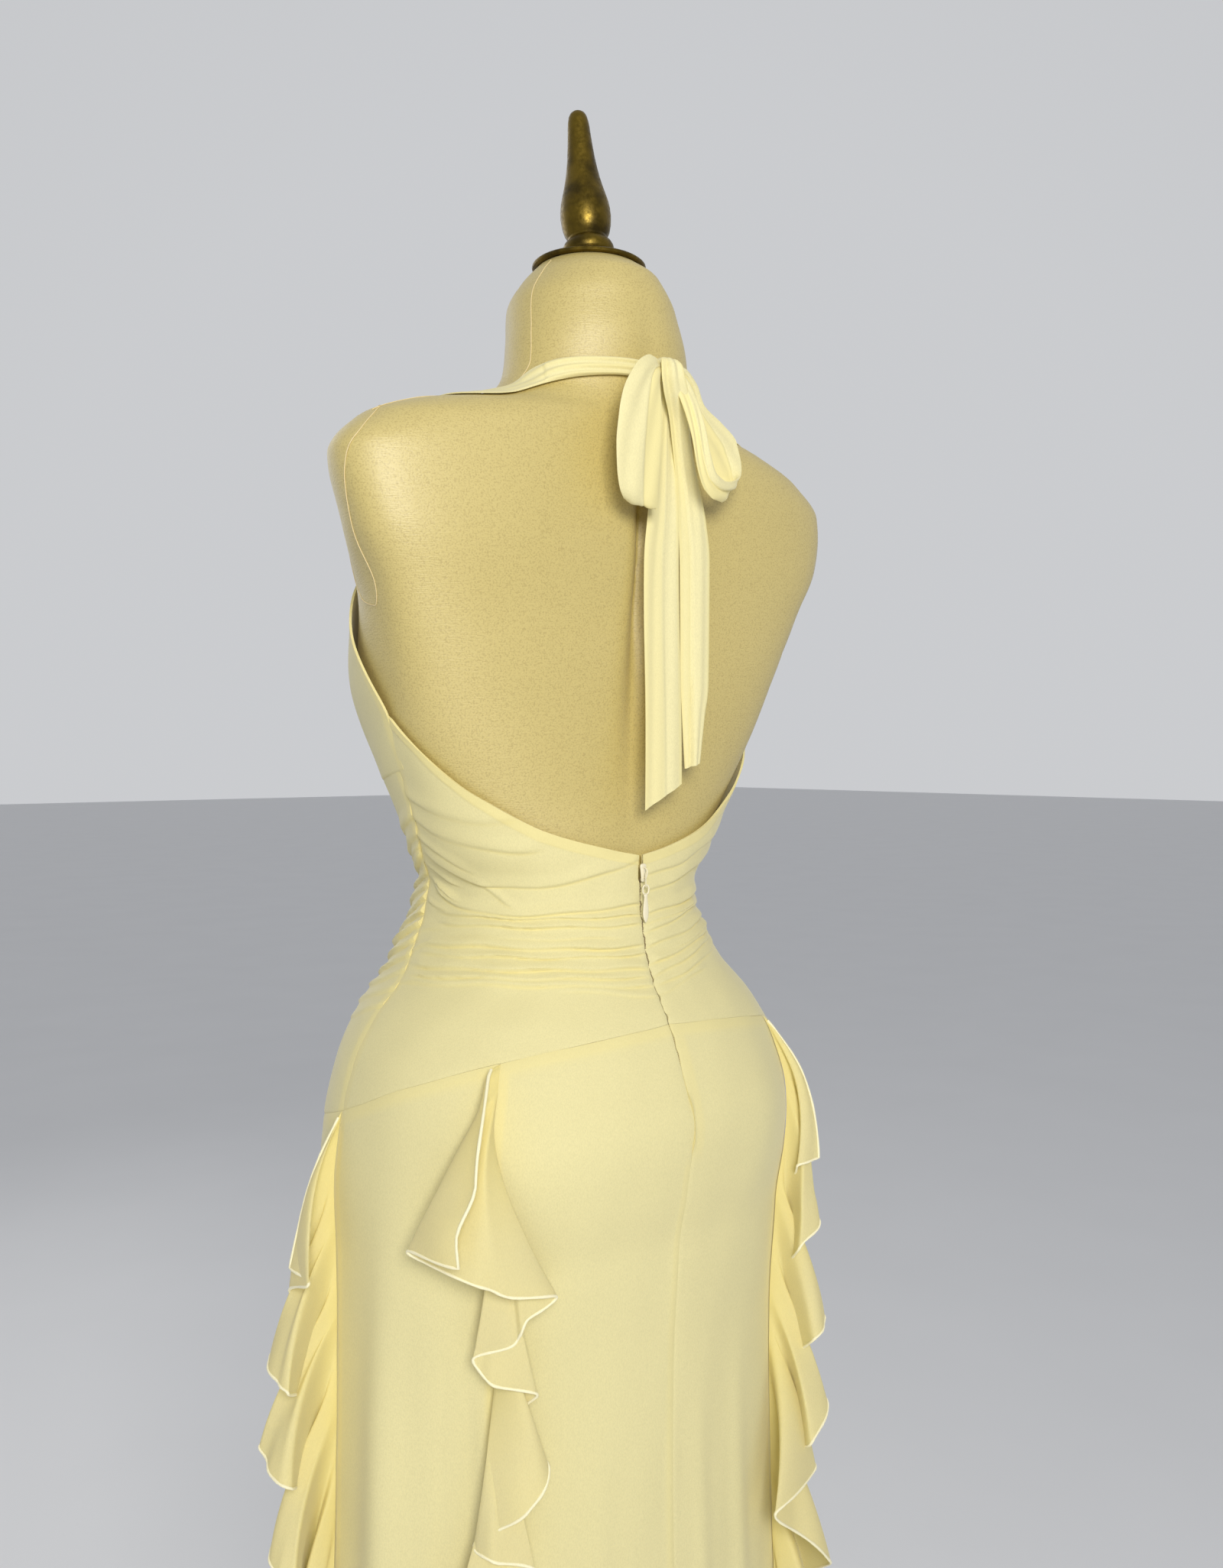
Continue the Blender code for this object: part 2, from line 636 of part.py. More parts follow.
def waist_front():
    """The ruched front waist panel, from side seam to side seam."""
    columns = 18
    half_span = 180.0 - SIDE_ANGLE
    gathers = [(far, centre, 0.0, size) for far, centre, size in FRONT_GATHERS]
    lines = []
    raises = []
    for share in (0.0, 0.33, 0.66):
        line = []
        for column in range(columns + 1):
            angle = SIDE_ANGLE + 2.0 * half_span * column / columns
            off = angle_between(angle, 180.0) / half_span
            top = underbust_height(angle) - 0.5 * SEAM_GAP
            first = gathers[0][1] + (gathers[0][0] - gathers[0][1]) * off
            line.append((angle, top + (first - top) * share))
        lines.append(line)
        raises.append(0.0)
    for far, centre, middle, size in gather_lines(gathers):
        line = []
        for column in range(columns + 1):
            angle = SIDE_ANGLE + 2.0 * half_span * column / columns
            off = angle_between(angle, 180.0) / half_span
            line.append((angle, centre + (far - centre) * off))
        lines.append(line)
        raises.append(size)
    last = lines[-1]
    for share in (0.35, 0.7, 1.0):
        line = []
        for angle, height in last:
            seam = BASQUE_CURVE.at(angle_between(angle, 0.0))[0] + 0.5 * SEAM_GAP
            line.append((angle, height + (seam - height) * share))
        lines.append(line)
        raises.append(0.0)
    outer = []
    inner = []
    for line, size in zip(lines, raises):
        outer_row = []
        inner_row = []
        for column, (angle, height) in enumerate(line):
            if column == 0:
                angle = seam_angle(angle, height, 1.0)
            if column == columns:
                angle = seam_angle(angle, height, -1.0)
            out = FORM_CLEARANCE + CLOTH_WALL + size
            outer_row.append(skin(angle, height, out))
            inner_row.append(skin(angle, height, FORM_CLEARANCE))
        outer.append(outer_row)
        inner.append(inner_row)
    return closed_wall("waist_front", outer, inner)


def underbust_height(angle):
    """Height of the seam under the halter panels."""
    side_height = HALTER_ROWS[0][1]
    front_height = HALTER_ROWS[0][3]
    share = (angle_between(angle, 0.0) - SIDE_ANGLE) / (180.0 - SIDE_ANGLE)
    return side_height + (front_height - side_height) * share


def halter_lift(height):
    """How much further than the waist a halter panel stands off the form."""
    return HALTER_LIFT * ease((height - HALTER_ROWS[1][1]) / HALTER_LIFT_GROWTH)


def halter_panel(side):
    """One front halter panel, from the underbust seam to the neck band."""
    name = "halter_cup_left" if side > 0 else "halter_cup_right"
    columns = 9
    lines = []
    for row, (outer_angle, outer_height, inner_angle, inner_height) in enumerate(HALTER_ROWS):
        line = []
        for column in range(columns + 1):
            share = column / columns
            around = outer_angle + (inner_angle - outer_angle) * share
            height = outer_height + (inner_height - outer_height) * share
            if row == 0:
                height += 0.5 * SEAM_GAP
            if row < 3 and column == 0:
                around = seam_angle(around, height, 1.0)
            if row < 3 and column == columns:
                around = seam_angle(around, height, -1.0)
            line.append((side * around, height))
        lines.append(line)
    outer = []
    inner = []
    for line in lines:
        lifts = [FORM_CLEARANCE + halter_lift(height) for around, height in line]
        outer.append([skin(a, h, lift + CLOTH_WALL) for (a, h), lift in zip(line, lifts)])
        inner.append([skin(a, h, lift) for (a, h), lift in zip(line, lifts)])
    return closed_wall(name, outer, inner)


def halter_band():
    """The folded band that runs from one halter panel round the neck to the other."""
    across = 6
    left = []
    for outer_angle, outer_height, inner_angle, inner_height in BAND_ROWS:
        line = []
        for column in range(across + 1):
            share = column / across
            around = outer_angle + (inner_angle - outer_angle) * share
            height = outer_height + (inner_height - outer_height) * share
            line.append((around, height))
        left.append(line)
    right = [[(-around, height) for around, height in line] for line in left[-2::-1]]
    outer = []
    inner = []
    for line in left + right:
        outer_row = []
        inner_row = []
        for column, (angle, height) in enumerate(line):
            fold = BAND_FOLD if column % 2 else 0.0
            lift = FORM_CLEARANCE + HALTER_LIFT
            outer_row.append(skin(angle, height, lift + CLOTH_WALL + fold))
            inner_row.append(skin(angle, height, lift))
        outer.append(outer_row)
        inner.append(inner_row)
    return closed_wall("halter_band", outer, inner)


def skirt_lines(first, last, columns, side):
    """Rows of a skirt panel between two seams, from the dropped waist seam to the hem."""
    lines = []
    for share in SKIRT_ROWS:
        line = []
        for column in range(columns + 1):
            around = first + (last - first) * column / columns
            top = BASQUE_CURVE.at(angle_between(around, 0.0))[0] - SEAM_GAP
            height = top + (HEM_HEIGHT - top) * share
            if column == 0 and first == 0.0:
                angle = centre_back_angle(height, side)
            elif column == 0:
                angle = side * seam_angle(around, height, 1.0)
            elif column == columns:
                angle = side * seam_angle(around, height, -1.0)
            else:
                angle = side * around
            line.append((angle, height))
        lines.append(line)
    return lines


def make_skirt():
    """The four back panels and the front panel of the skirt."""
    for side, name in ((1.0, "left"), (-1.0, "right")):
        centre = skirt_lines(0.0, PRINCESS_ANGLE, 6, side)
        skirt_panel("skirt_back_" + name + "_centre", centre)
        outer = skirt_lines(PRINCESS_ANGLE, SIDE_ANGLE, 5, side)
        skirt_panel("skirt_back_" + name + "_side", outer)
    skirt_panel("skirt_front", skirt_lines(SIDE_ANGLE, 360.0 - SIDE_ANGLE, 18, 1.0))


def cascade_ruling(place):
    """Root distance, width, droop and swing of a cascade at a place along its waves."""
    index = min(int(place), len(CASCADE_WAVES) - 2)
    share = place - index
    before = CASCADE_WAVES[index]
    after = CASCADE_WAVES[index + 1]
    turn = ease(share)
    root = before[0] + (after[0] - before[0]) * share
    width, droop, swing = [a + (b - a) * turn for a, b in zip(before[1:], after[1:])]
    return root, width, droop, swing


def cascade_point(seam, shares, place, across):
    """Point of a cascade's middle surface."""
    width_share, swing_share, first_reach, later_reach = shares
    side = 1.0 if seam > 0.0 else -1.0
    root, width, droop, swing = cascade_ruling(place)
    gone = ease((place - FIRST_FLARE_END[0]) / (FIRST_FLARE_END[1] - FIRST_FLARE_END[0]))
    reach_share = first_reach + (later_reach - first_reach) * gone
    top = BASQUE_CURVE.at(abs(seam))[0] - 2.0 * SEAM_GAP
    length = across * width * width_share
    lean = math.radians(droop)
    turn = math.radians(swing * swing_share)
    height = top - root - length * math.cos(lean)
    level = length * math.sin(lean) * reach_share
    reach = section_point(seam, height).to_2d().length
    angle = seam + side * math.degrees(level * math.sin(turn) / reach)
    out = FORM_CLEARANCE + CLOTH_WALL + skirt_fold(angle, height) + CASCADE_ROOT_GAP
    out += 0.5 * RUFFLE_WALL * abs(math.sin(turn)) + level * math.cos(turn)
    out += CASCADE_LIFT * across * (2.0 - across)
    return skin(angle, height, out) + seam_sag(seam, height) * (1.0 - min(across, 1.0))


def seam_sag(seam, height):
    """Shift from the smooth skirt to the straight edge between two rows of its panels."""
    top = BASQUE_CURVE.at(abs(seam))[0]
    share = (top - height) / (top - HEM_HEIGHT)
    index = min(max(bisect.bisect_right(SKIRT_ROWS, share), 1), len(SKIRT_ROWS) - 1)
    ends = []
    for row in (index - 1, index):
        level = top + (HEM_HEIGHT - top) * SKIRT_ROWS[row]
        ends.append(skin(seam, level, FORM_CLEARANCE + CLOTH_WALL + skirt_fold(seam, level)))
    between = (share - SKIRT_ROWS[index - 1]) / (SKIRT_ROWS[index] - SKIRT_ROWS[index - 1])
    chord = ends[0].lerp(ends[1], between)
    return chord - skin(seam, height, FORM_CLEARANCE + CLOTH_WALL + skirt_fold(seam, height))


def grid_faces(bm, grid):
    """Triangles of a grid of vertices, every cell split along the same diagonal."""
    for above, below in zip(grid, grid[1:]):
        for j in range(len(above) - 1):
            bm.faces.new((above[j], above[j + 1], below[j + 1]))
            bm.faces.new((above[j], below[j + 1], below[j]))


def wall_shift(middle, i, j):
    """Shift from a ruffle's middle surface to its face, along the bisector where it folds over."""
    line = middle[i]
    across = line[min(j + 1, len(line) - 1)] - line[max(j - 1, 0)]
    normals = []
    for first in (max(i - 1, 0), min(i, len(middle) - 2)):
        onward = middle[first + 1][j] - middle[first][j]
        normal = onward.cross(across)
        normal.normalize()
        normals.append(normal)
    bisector = normals[0] + normals[1]
    bisector.normalize()
    flatness = max(bisector.dot(normals[0]), RUFFLE_FOLD_FLATNESS)
    return bisector * (0.5 * RUFFLE_WALL / flatness)


def cascade(name, seam, shares):
    """A waterfall ruffle set in a seam, a wall on both sides of its middle surface."""
    rows = (len(CASCADE_WAVES) - 1) * CASCADE_STEPS
    middle = []
    for row in range(rows + 1):
        place = row / CASCADE_STEPS
        steps = range(CASCADE_ACROSS + 1)
        middle.append([cascade_point(seam, shares, place, s / CASCADE_ACROSS) for s in steps])
    front = []
    back = []
    for i, line in enumerate(middle):
        shifts = [wall_shift(middle, i, j) for j in range(len(line))]
        front.append([point + shift for point, shift in zip(line, shifts)])
        back.append([point - shift for point, shift in zip(line, shifts)])
    return closed_wall(name, front, back)


def turned_piece(name, profile, finish, segments, place):
    """A closed round piece from a profile of (radius, height), set by a matrix."""
    bm = bmesh.new()
    rings = []
    for radius, height in profile:
        ring = []
        for step in range(segments):
            turn = 2.0 * math.pi * step / segments
            ring.append(bm.verts.new((radius * math.cos(turn), radius * math.sin(turn), height)))
        rings.append(ring)
    for lower, upper in zip(rings, rings[1:]):
        for step in range(segments):
            after = (step + 1) % segments
            bm.faces.new((lower[step], lower[after], upper[after], upper[step]))
    bm.faces.new(rings[0])
    bm.faces.new(rings[-1])
    bm.transform(place)
    piece = add_object(name, bm, finish)
    piece.data.set_sharp_from_angle(angle=math.radians(50.0))
    return piece


def make_form():
    """The padded torso with its neck, closed by a flat underside and a flat top."""
    heights = [FORM_BOTTOM, 0.780, 0.835, 0.875, 0.910, 0.942, 0.970, 1.000, 1.024]
    heights += [1.045, 1.063, 1.085, 1.118, 1.160, 1.205, 1.250, 1.290, 1.318, 1.338]
    heights += [1.354, 1.368, 1.380, 1.390, 1.400, 1.411, 1.430, 1.455, 1.472, FORM_TOP]
    segments = 32
    bm = bmesh.new()
    rings = []
    for height in heights:
        ring = []
        inset = FORM_INSET * ease((FORM_INSET_TOP - height) / FORM_INSET_FADE)
        for step in range(segments):
            ring.append(bm.verts.new(skin(360.0 * step / segments, height, -inset)))
        rings.append(ring)
    for lower, upper in zip(rings, rings[1:]):
        for step in range(segments):
            after = (step + 1) % segments
            bm.faces.new((lower[step], lower[after], upper[after], upper[step]))
    bm.faces.new(rings[0])
    bm.faces.new(rings[-1])
    return add_object("form_torso", bm, "form_jersey")


def make_stand():
    """The neck plate and finial above, the pole and round base below."""
    disc_place = Matrix.Translation((0.0, NECK_AXIS_Y, FORM_TOP + SEAM_GAP))
    turned_piece("neck_disc", DISC_PROFILE, "antique_gold", 24, disc_place)
    finial_base = FORM_TOP + SEAM_GAP + DISC_PROFILE[-1][1] + 0.0022
    finial_place = Matrix.Translation((0.0, NECK_AXIS_Y, finial_base))
    finial_place = finial_place @ Matrix.Rotation(math.radians(FINIAL_LEAN), 4, "X")
    turned_piece("neck_finial", FINIAL_PROFILE, "antique_gold", 14, finial_place)
    pole = ((POLE_RADIUS, BASE_HUB_HEIGHT + SEAM_GAP), (POLE_RADIUS, POLE_TOP))
    turned_piece("stand_pole", pole, "stand_metal", 16, Matrix.Identity(4))
    turned_piece("stand_base", BASE_PROFILE, "stand_metal", 32, Matrix.Identity(4))


def ribbon(name, path, lean):
    """A looped ribbon along a path, with its width along one direction."""
    middles = [ribbon_point(*row[:3]) for row in path]
    direction = Vector(lean).normalized()
    outer = []
    inner = []
    last = len(middles) - 1
    for index, middle in enumerate(middles):
        half = direction * (0.5 * path[index][3])
        onward = middles[min(index + 1, last)] - middles[max(index - 1, 0)]
        normal = onward.cross(direction)
        normal.normalize()
        shift = normal * (0.5 * RIBBON_WALL)
        outer.append([middle - half + shift, middle + shift, middle + half + shift])
        inner.append([middle - half - shift, middle - shift, middle + half - shift])
    return closed_wall(name, outer, inner)


def ribbon_point(shift, out, below):
    """Place of a ribbon's point, measured from the knot and the back plane."""
    return Vector((KNOT_CENTRE[0] + shift, BACK_PLANE_Y + out, KNOT_CENTRE[2] - below))


def bow_tail(name, rows, tip):
    """A hanging ribbon with a slanted end and one soft lengthwise fold."""
    outer = []
    inner = []
    half = Vector((0.0, 0.5 * RIBBON_WALL, 0.0))
    for index, (left, right, out, height) in enumerate(rows):
        outer_row = []
        inner_row = []
        for column in range(5):
            share = column / 4.0
            shift = left + (right - left) * share
            drop = tip * (1.0 - share) if index == len(rows) - 1 else 0.0
            fold = TAIL_FOLD * math.sin(math.pi * 2.0 * share) if index else 0.0
            place = Vector((KNOT_CENTRE[0] + shift, BACK_PLANE_Y + out + fold, height - drop))
            outer_row.append(place + half)
            inner_row.append(place - half)
        outer.append(outer_row)
        inner.append(inner_row)
    return closed_wall(name, outer, inner)


def make_bow():
    """The knot at the nape, its two loops and its two tails."""
    bm = bmesh.new()
    bmesh.ops.create_cube(bm, size=1.0)
    bm.transform(Matrix.Diagonal((*KNOT_SIZE, 1.0)))
    bmesh.ops.bevel(bm, geom=list(bm.edges), offset=0.0025, segments=3, profile=0.5, affect="EDGES")
    bm.transform(Matrix.Translation(KNOT_CENTRE))
    add_object("bow_knot", bm, "dress_cloth")
    ribbon("bow_loop_left", LOOP_LEFT_PATH, (1.0, 0.0, 0.0))
    ribbon("bow_loop_right", LOOP_RIGHT_PATH, RIGHT_LOOP_LEAN)
    bow_tail("bow_tail_left", TAIL_LEFT_ROWS, TAIL_LEFT_TIP)
    bow_tail("bow_tail_right", TAIL_RIGHT_ROWS, TAIL_RIGHT_TIP)


def make_zip_chain():
    """The closed chain of the zip, a narrow strip between the back panels."""
    half = ZIP_HALF_OPENING - SEAM_GAP
    rows = 9
    top = SLIDER_HEIGHT - 0.5 * SLIDER_SIZE[2]
    outer = []
    inner = []
    for row in range(rows + 1):
        height = CHAIN_BOTTOM + (top - CHAIN_BOTTOM) * row / rows
        face = skin(0.0, height, FORM_CLEARANCE + 0.8 * CLOTH_WALL)
        lining = skin(0.0, height, FORM_CLEARANCE)
        outer.append([face + Vector((-half, 0.0, 0.0)), face + Vector((half, 0.0, 0.0))])
        inner.append([lining + Vector((-half, 0.0, 0.0)), lining + Vector((half, 0.0, 0.0))])
    return closed_wall("zip_chain", outer, inner, "zip_plastic")


def slider_front():
    """The y of the slider plate's outer face."""
    cloth = skin(0.0, SLIDER_HEIGHT, FORM_CLEARANCE + CLOTH_WALL).y
    return cloth + SEAM_GAP + 0.0016 + SLIDER_SIZE[1]


def wire(name, middles, radius, closed, sides=6):
    """A closed tube along a line of points in one plane."""
    bm = bmesh.new()
    count = len(middles)
    plane = (middles[1] - middles[0]).cross(middles[count // 2] - middles[0])
    plane.normalize()
    rings = []
    for index, middle in enumerate(middles):
        if closed:
            onward = middles[(index + 1) % count] - middles[index - 1]
        else:
            onward = middles[min(index + 1, count - 1)] - middles[max(index - 1, 0)]
        onward.normalize()
        level = onward.cross(plane)
        ring = []
        for step in range(sides):
            turn = 2.0 * math.pi * step / sides
            spot = middle + level * (radius * math.cos(turn)) + plane * (radius * math.sin(turn))
            ring.append(bm.verts.new(spot))
        rings.append(ring)
    pairs = list(zip(rings, rings[1:]))
    if closed:
        pairs.append((rings[-1], rings[0]))
    for before, after in pairs:
        for step in range(sides):
            following = (step + 1) % sides
            bm.faces.new((before[step], before[following], after[following], after[step]))
    if not closed:
        bm.faces.new(rings[0])
        bm.faces.new(rings[-1])
    return add_object(name, bm, "zip_plastic")


def union(piece, other):
    """Joins a helper object into a piece and removes the helper."""
    modifier = piece.modifiers.new("join", "BOOLEAN")
    modifier.operation = "UNION"
    modifier.object = other
    apply_modifiers(piece)
    bpy.data.objects.remove(other, do_unlink=True)


def apply_modifiers(piece):
    """Replaces a piece's mesh by its evaluated one."""
    graph = bpy.context.evaluated_depsgraph_get()
    graph.update()
    result = bpy.data.meshes.new_from_object(piece.evaluated_get(graph))
    piece.modifiers.clear()
    piece.data = result


def pivot_point():
    """The line that the zip's pull swings about, inside the slider's bridge."""
    return Vector((0.0, slider_front() + PIVOT_RISE, SLIDER_HEIGHT))


def make_slider():
    """The slider: a bevelled plate with a bridge for the pull."""
    front = slider_front()
    bm = bmesh.new()
    bmesh.ops.create_cube(bm, size=1.0)
    middle = (0.0, front - 0.5 * SLIDER_SIZE[1], SLIDER_HEIGHT)
    bm.transform(Matrix.Translation(middle) @ Matrix.Diagonal((*SLIDER_SIZE, 1.0)))
    edges = list(bm.edges)
    bmesh.ops.bevel(bm, geom=edges, offset=0.0004, segments=1, affect="EDGES")
    plate = add_object("zip_slider", bm, "zip_plastic", smooth=False)
    chain_top = SLIDER_HEIGHT - 0.5 * SLIDER_SIZE[2]
    lining = skin(0.0, chain_top, FORM_CLEARANCE).y
    reach = front - 0.5 * SLIDER_SIZE[1] - lining
    stem_size = (2.0 * (ZIP_HALF_OPENING - SEAM_GAP), reach, STEM_LENGTH)
    stem_middle = (0.0, lining + 0.5 * reach, chain_top + SEAM_GAP + 0.5 * STEM_LENGTH)
    bm = bmesh.new()
    bmesh.ops.create_cube(bm, size=1.0)
    bm.transform(Matrix.Translation(stem_middle) @ Matrix.Diagonal((*stem_size, 1.0)))
    union(plate, add_object("stem", bm, "zip_plastic", smooth=False))
    arch = []
    steps = 12
    for step in range(steps + 1):
        turn = math.pi * step / steps
        rise = (BRIDGE_RISE + BRIDGE_SINK) * math.sin(turn) ** BRIDGE_SQUARENESS - BRIDGE_SINK
        arch.append(Vector((0.0, front + rise, SLIDER_HEIGHT + BRIDGE_HALF_LENGTH * math.cos(turn))))
    bridge = wire("bridge", arch, BRIDGE_WIRE, False)
    union(plate, bridge)
    return plate


def make_pull():
    """The link and the drop that hang from the slider's bridge."""
    pivot = pivot_point()
    turn = Matrix.Rotation(math.radians(LINK_TURN), 3, "Z")
    middle = pivot - Vector((0.0, 0.0, LINK_HALF_LENGTH))
    straight = LINK_HALF_LENGTH - LINK_HALF_WIDTH
    points = []
    steps = 20
    for step in range(steps):
        around = 2.0 * math.pi * (step + 0.5) / steps
        flat = LINK_HALF_WIDTH * math.cos(around)
        tall = LINK_HALF_WIDTH * math.sin(around) + math.copysign(straight, math.sin(around))
        points.append(middle + turn @ Vector((flat, 0.0, tall)))
    wire("zip_link", points, LINK_WIRE, True)

    eyelet = pivot - Vector((0.0, 0.0, 2.0 * LINK_HALF_LENGTH + LINK_WIRE))
    outline = [(half, -below) for half, below in DROP_OUTLINE]
    outline += [(-half, -below) for half, below in reversed(DROP_OUTLINE)]
    bm = bmesh.new()
    face = bm.faces.new([bm.verts.new((x, -0.5 * DROP_THICKNESS, z)) for x, z in outline])
    grown = bmesh.ops.extrude_face_region(bm, geom=[face])
    moved = [item for item in grown["geom"] if isinstance(item, bmesh.types.BMVert)]
    bmesh.ops.translate(bm, verts=moved, vec=(0.0, DROP_THICKNESS, 0.0))
    bm.transform(Matrix.Translation(eyelet))
    drop = add_object("zip_drop", bm, "zip_plastic", smooth=False)
    bm = bmesh.new()
    bmesh.ops.create_cone(
        bm, cap_ends=True, segments=16, radius1=EYELET_HOLE, radius2=EYELET_HOLE, depth=0.01)
    bm.transform(Matrix.Translation(eyelet) @ Matrix.Rotation(math.radians(90.0), 4, "X"))
    hole = add_object("eyelet_hole", bm, "zip_plastic")
    modifier = drop.modifiers.new("eyelet", "BOOLEAN")
    modifier.operation = "DIFFERENCE"
    modifier.object = hole
    apply_modifiers(drop)
    bpy.data.objects.remove(hole, do_unlink=True)


def main():
    clear_scene()
    make_form()
    make_stand()
    halter_panel(1.0)
    halter_panel(-1.0)
    halter_band()
    waist_back(1.0)
    waist_back(-1.0)
    waist_front()
    make_skirt()
    for name, seam, *shares in CASCADES:
        cascade(name, seam, shares)
    make_bow()
    make_zip_chain()
    make_slider()
    make_pull()


main()
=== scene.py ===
# Looks of a ruffled halter maxi dress on a limbless dress form with a stand.
# Units are metres and +Z is up. The figure's front faces -Y and its left side is at +X.
# Angles run round the figure from centre back: 90 is the left side, 180 the centre front,
# and negative angles are the right side.

import math

import bmesh
import bpy
import numpy as np
from mathutils import Matrix, Vector


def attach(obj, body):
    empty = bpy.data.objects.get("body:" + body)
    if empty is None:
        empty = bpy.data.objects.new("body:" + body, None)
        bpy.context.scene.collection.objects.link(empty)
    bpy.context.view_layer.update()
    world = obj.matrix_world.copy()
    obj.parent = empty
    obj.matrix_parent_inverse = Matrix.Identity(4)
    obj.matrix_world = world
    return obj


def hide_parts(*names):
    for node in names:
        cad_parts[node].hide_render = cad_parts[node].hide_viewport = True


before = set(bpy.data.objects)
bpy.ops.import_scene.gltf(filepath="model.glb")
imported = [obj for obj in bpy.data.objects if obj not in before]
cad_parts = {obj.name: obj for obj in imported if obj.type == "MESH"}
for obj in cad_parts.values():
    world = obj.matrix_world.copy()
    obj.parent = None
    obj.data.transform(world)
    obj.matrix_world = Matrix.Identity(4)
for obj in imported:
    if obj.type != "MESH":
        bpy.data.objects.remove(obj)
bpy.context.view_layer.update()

FULL_TURN = 2.0 * math.pi
MAIN_BODY = "dress_and_form"
PULL_BODY = "zip_pull"

# Sizes shared with the part
SEAM_GAP = 0.0003
CLOTH_GAP = 0.00012
CLOTH_WALL = 0.0012
FORM_CLEARANCE = 0.0025
OUTER_FACE = FORM_CLEARANCE + CLOTH_WALL
FORM_INSET = 0.0012
FORM_INSET_TOP = 1.17
FORM_INSET_FADE = 0.05
FORM_BOTTOM = 0.7
FORM_TOP = 1.487
HEM_HEIGHT = 0.045
ZIP_BOTTOM = 0.944
CHAIN_BOTTOM = 0.945
CHAIN_TOP = 1.08
TAPE_BOTTOM = 0.892
TOOTH_SIZE = (0.0013, 0.0009, 0.00062)
TOOTH_PITCH = 0.0011
TOOTH_STAGGER = 0.00018

# Half of the space between the back panels: along the chain, and what each of two steps adds at the
# slider, the first of them starting this far below it
CHAIN_OPENING = 0.00035
V_OPENING = 0.0017
V_START = 0.0085

# The closed seam's sideways kink below the zip
KINK_SIZE = 0.002
KINK_HEIGHT = 0.913
KINK_SPREAD = 0.013

# The slider, and the link of its pull
SLIDER_HEIGHT = 1.07
SLIDER_SIZE = (0.0052, 0.0016, 0.012)
SLIDER_LIFT = 0.0016
BRIDGE_RISE = 0.0034
BRIDGE_HALF_LENGTH = 0.0034
BRIDGE_WIRE = 0.00045
BRIDGE_SQUARENESS = 0.6
BRIDGE_SINK = 0.0006
PIVOT_RISE = 0.0019
LINK_WIRE = 0.00034
LINK_HALF_WIDTH = 0.0017
LINK_HALF_LENGTH = 0.0048
LINK_TURN = 50.0

# Sections of the slider's plate: distance above its middle, half width, half thickness
SLIDER_SECTIONS = (
    (-0.006, 0.0013, 0.0004), (-0.0056, 0.0017, 0.0007), (-0.0015, 0.0019, 0.0008),
    (0.0015, 0.0023, 0.0008), (0.0038, 0.0026, 0.0008), (0.0052, 0.0024, 0.0008),
    (0.0058, 0.0019, 0.0006), (0.006, 0.0012, 0.0004),
)

# Sections of the pull's drop: distance below its eyelet, half width, half thickness
DROP_SECTIONS = (
    (0.0044, 0.0011, 0.00035), (0.005, 0.0016, 0.0005), (0.0062, 0.0013, 0.0005),
    (0.0078, 0.0014, 0.00055), (0.0105, 0.0019, 0.0006), (0.014, 0.0023, 0.0006), (0.017, 0.0024, 0.0006),
    (0.0195, 0.0021, 0.00055), (0.0215, 0.0014, 0.00045), (0.0228, 0.0005, 0.00025),
)

# Half width, half length and wire radius of the drop's ring
DROP_RING = (0.0026, 0.0031, 0.0006)

# Angles of the back's princess seams and of the side seams
PRINCESS_ANGLE = 52.0
SIDE_ANGLE = 93.0

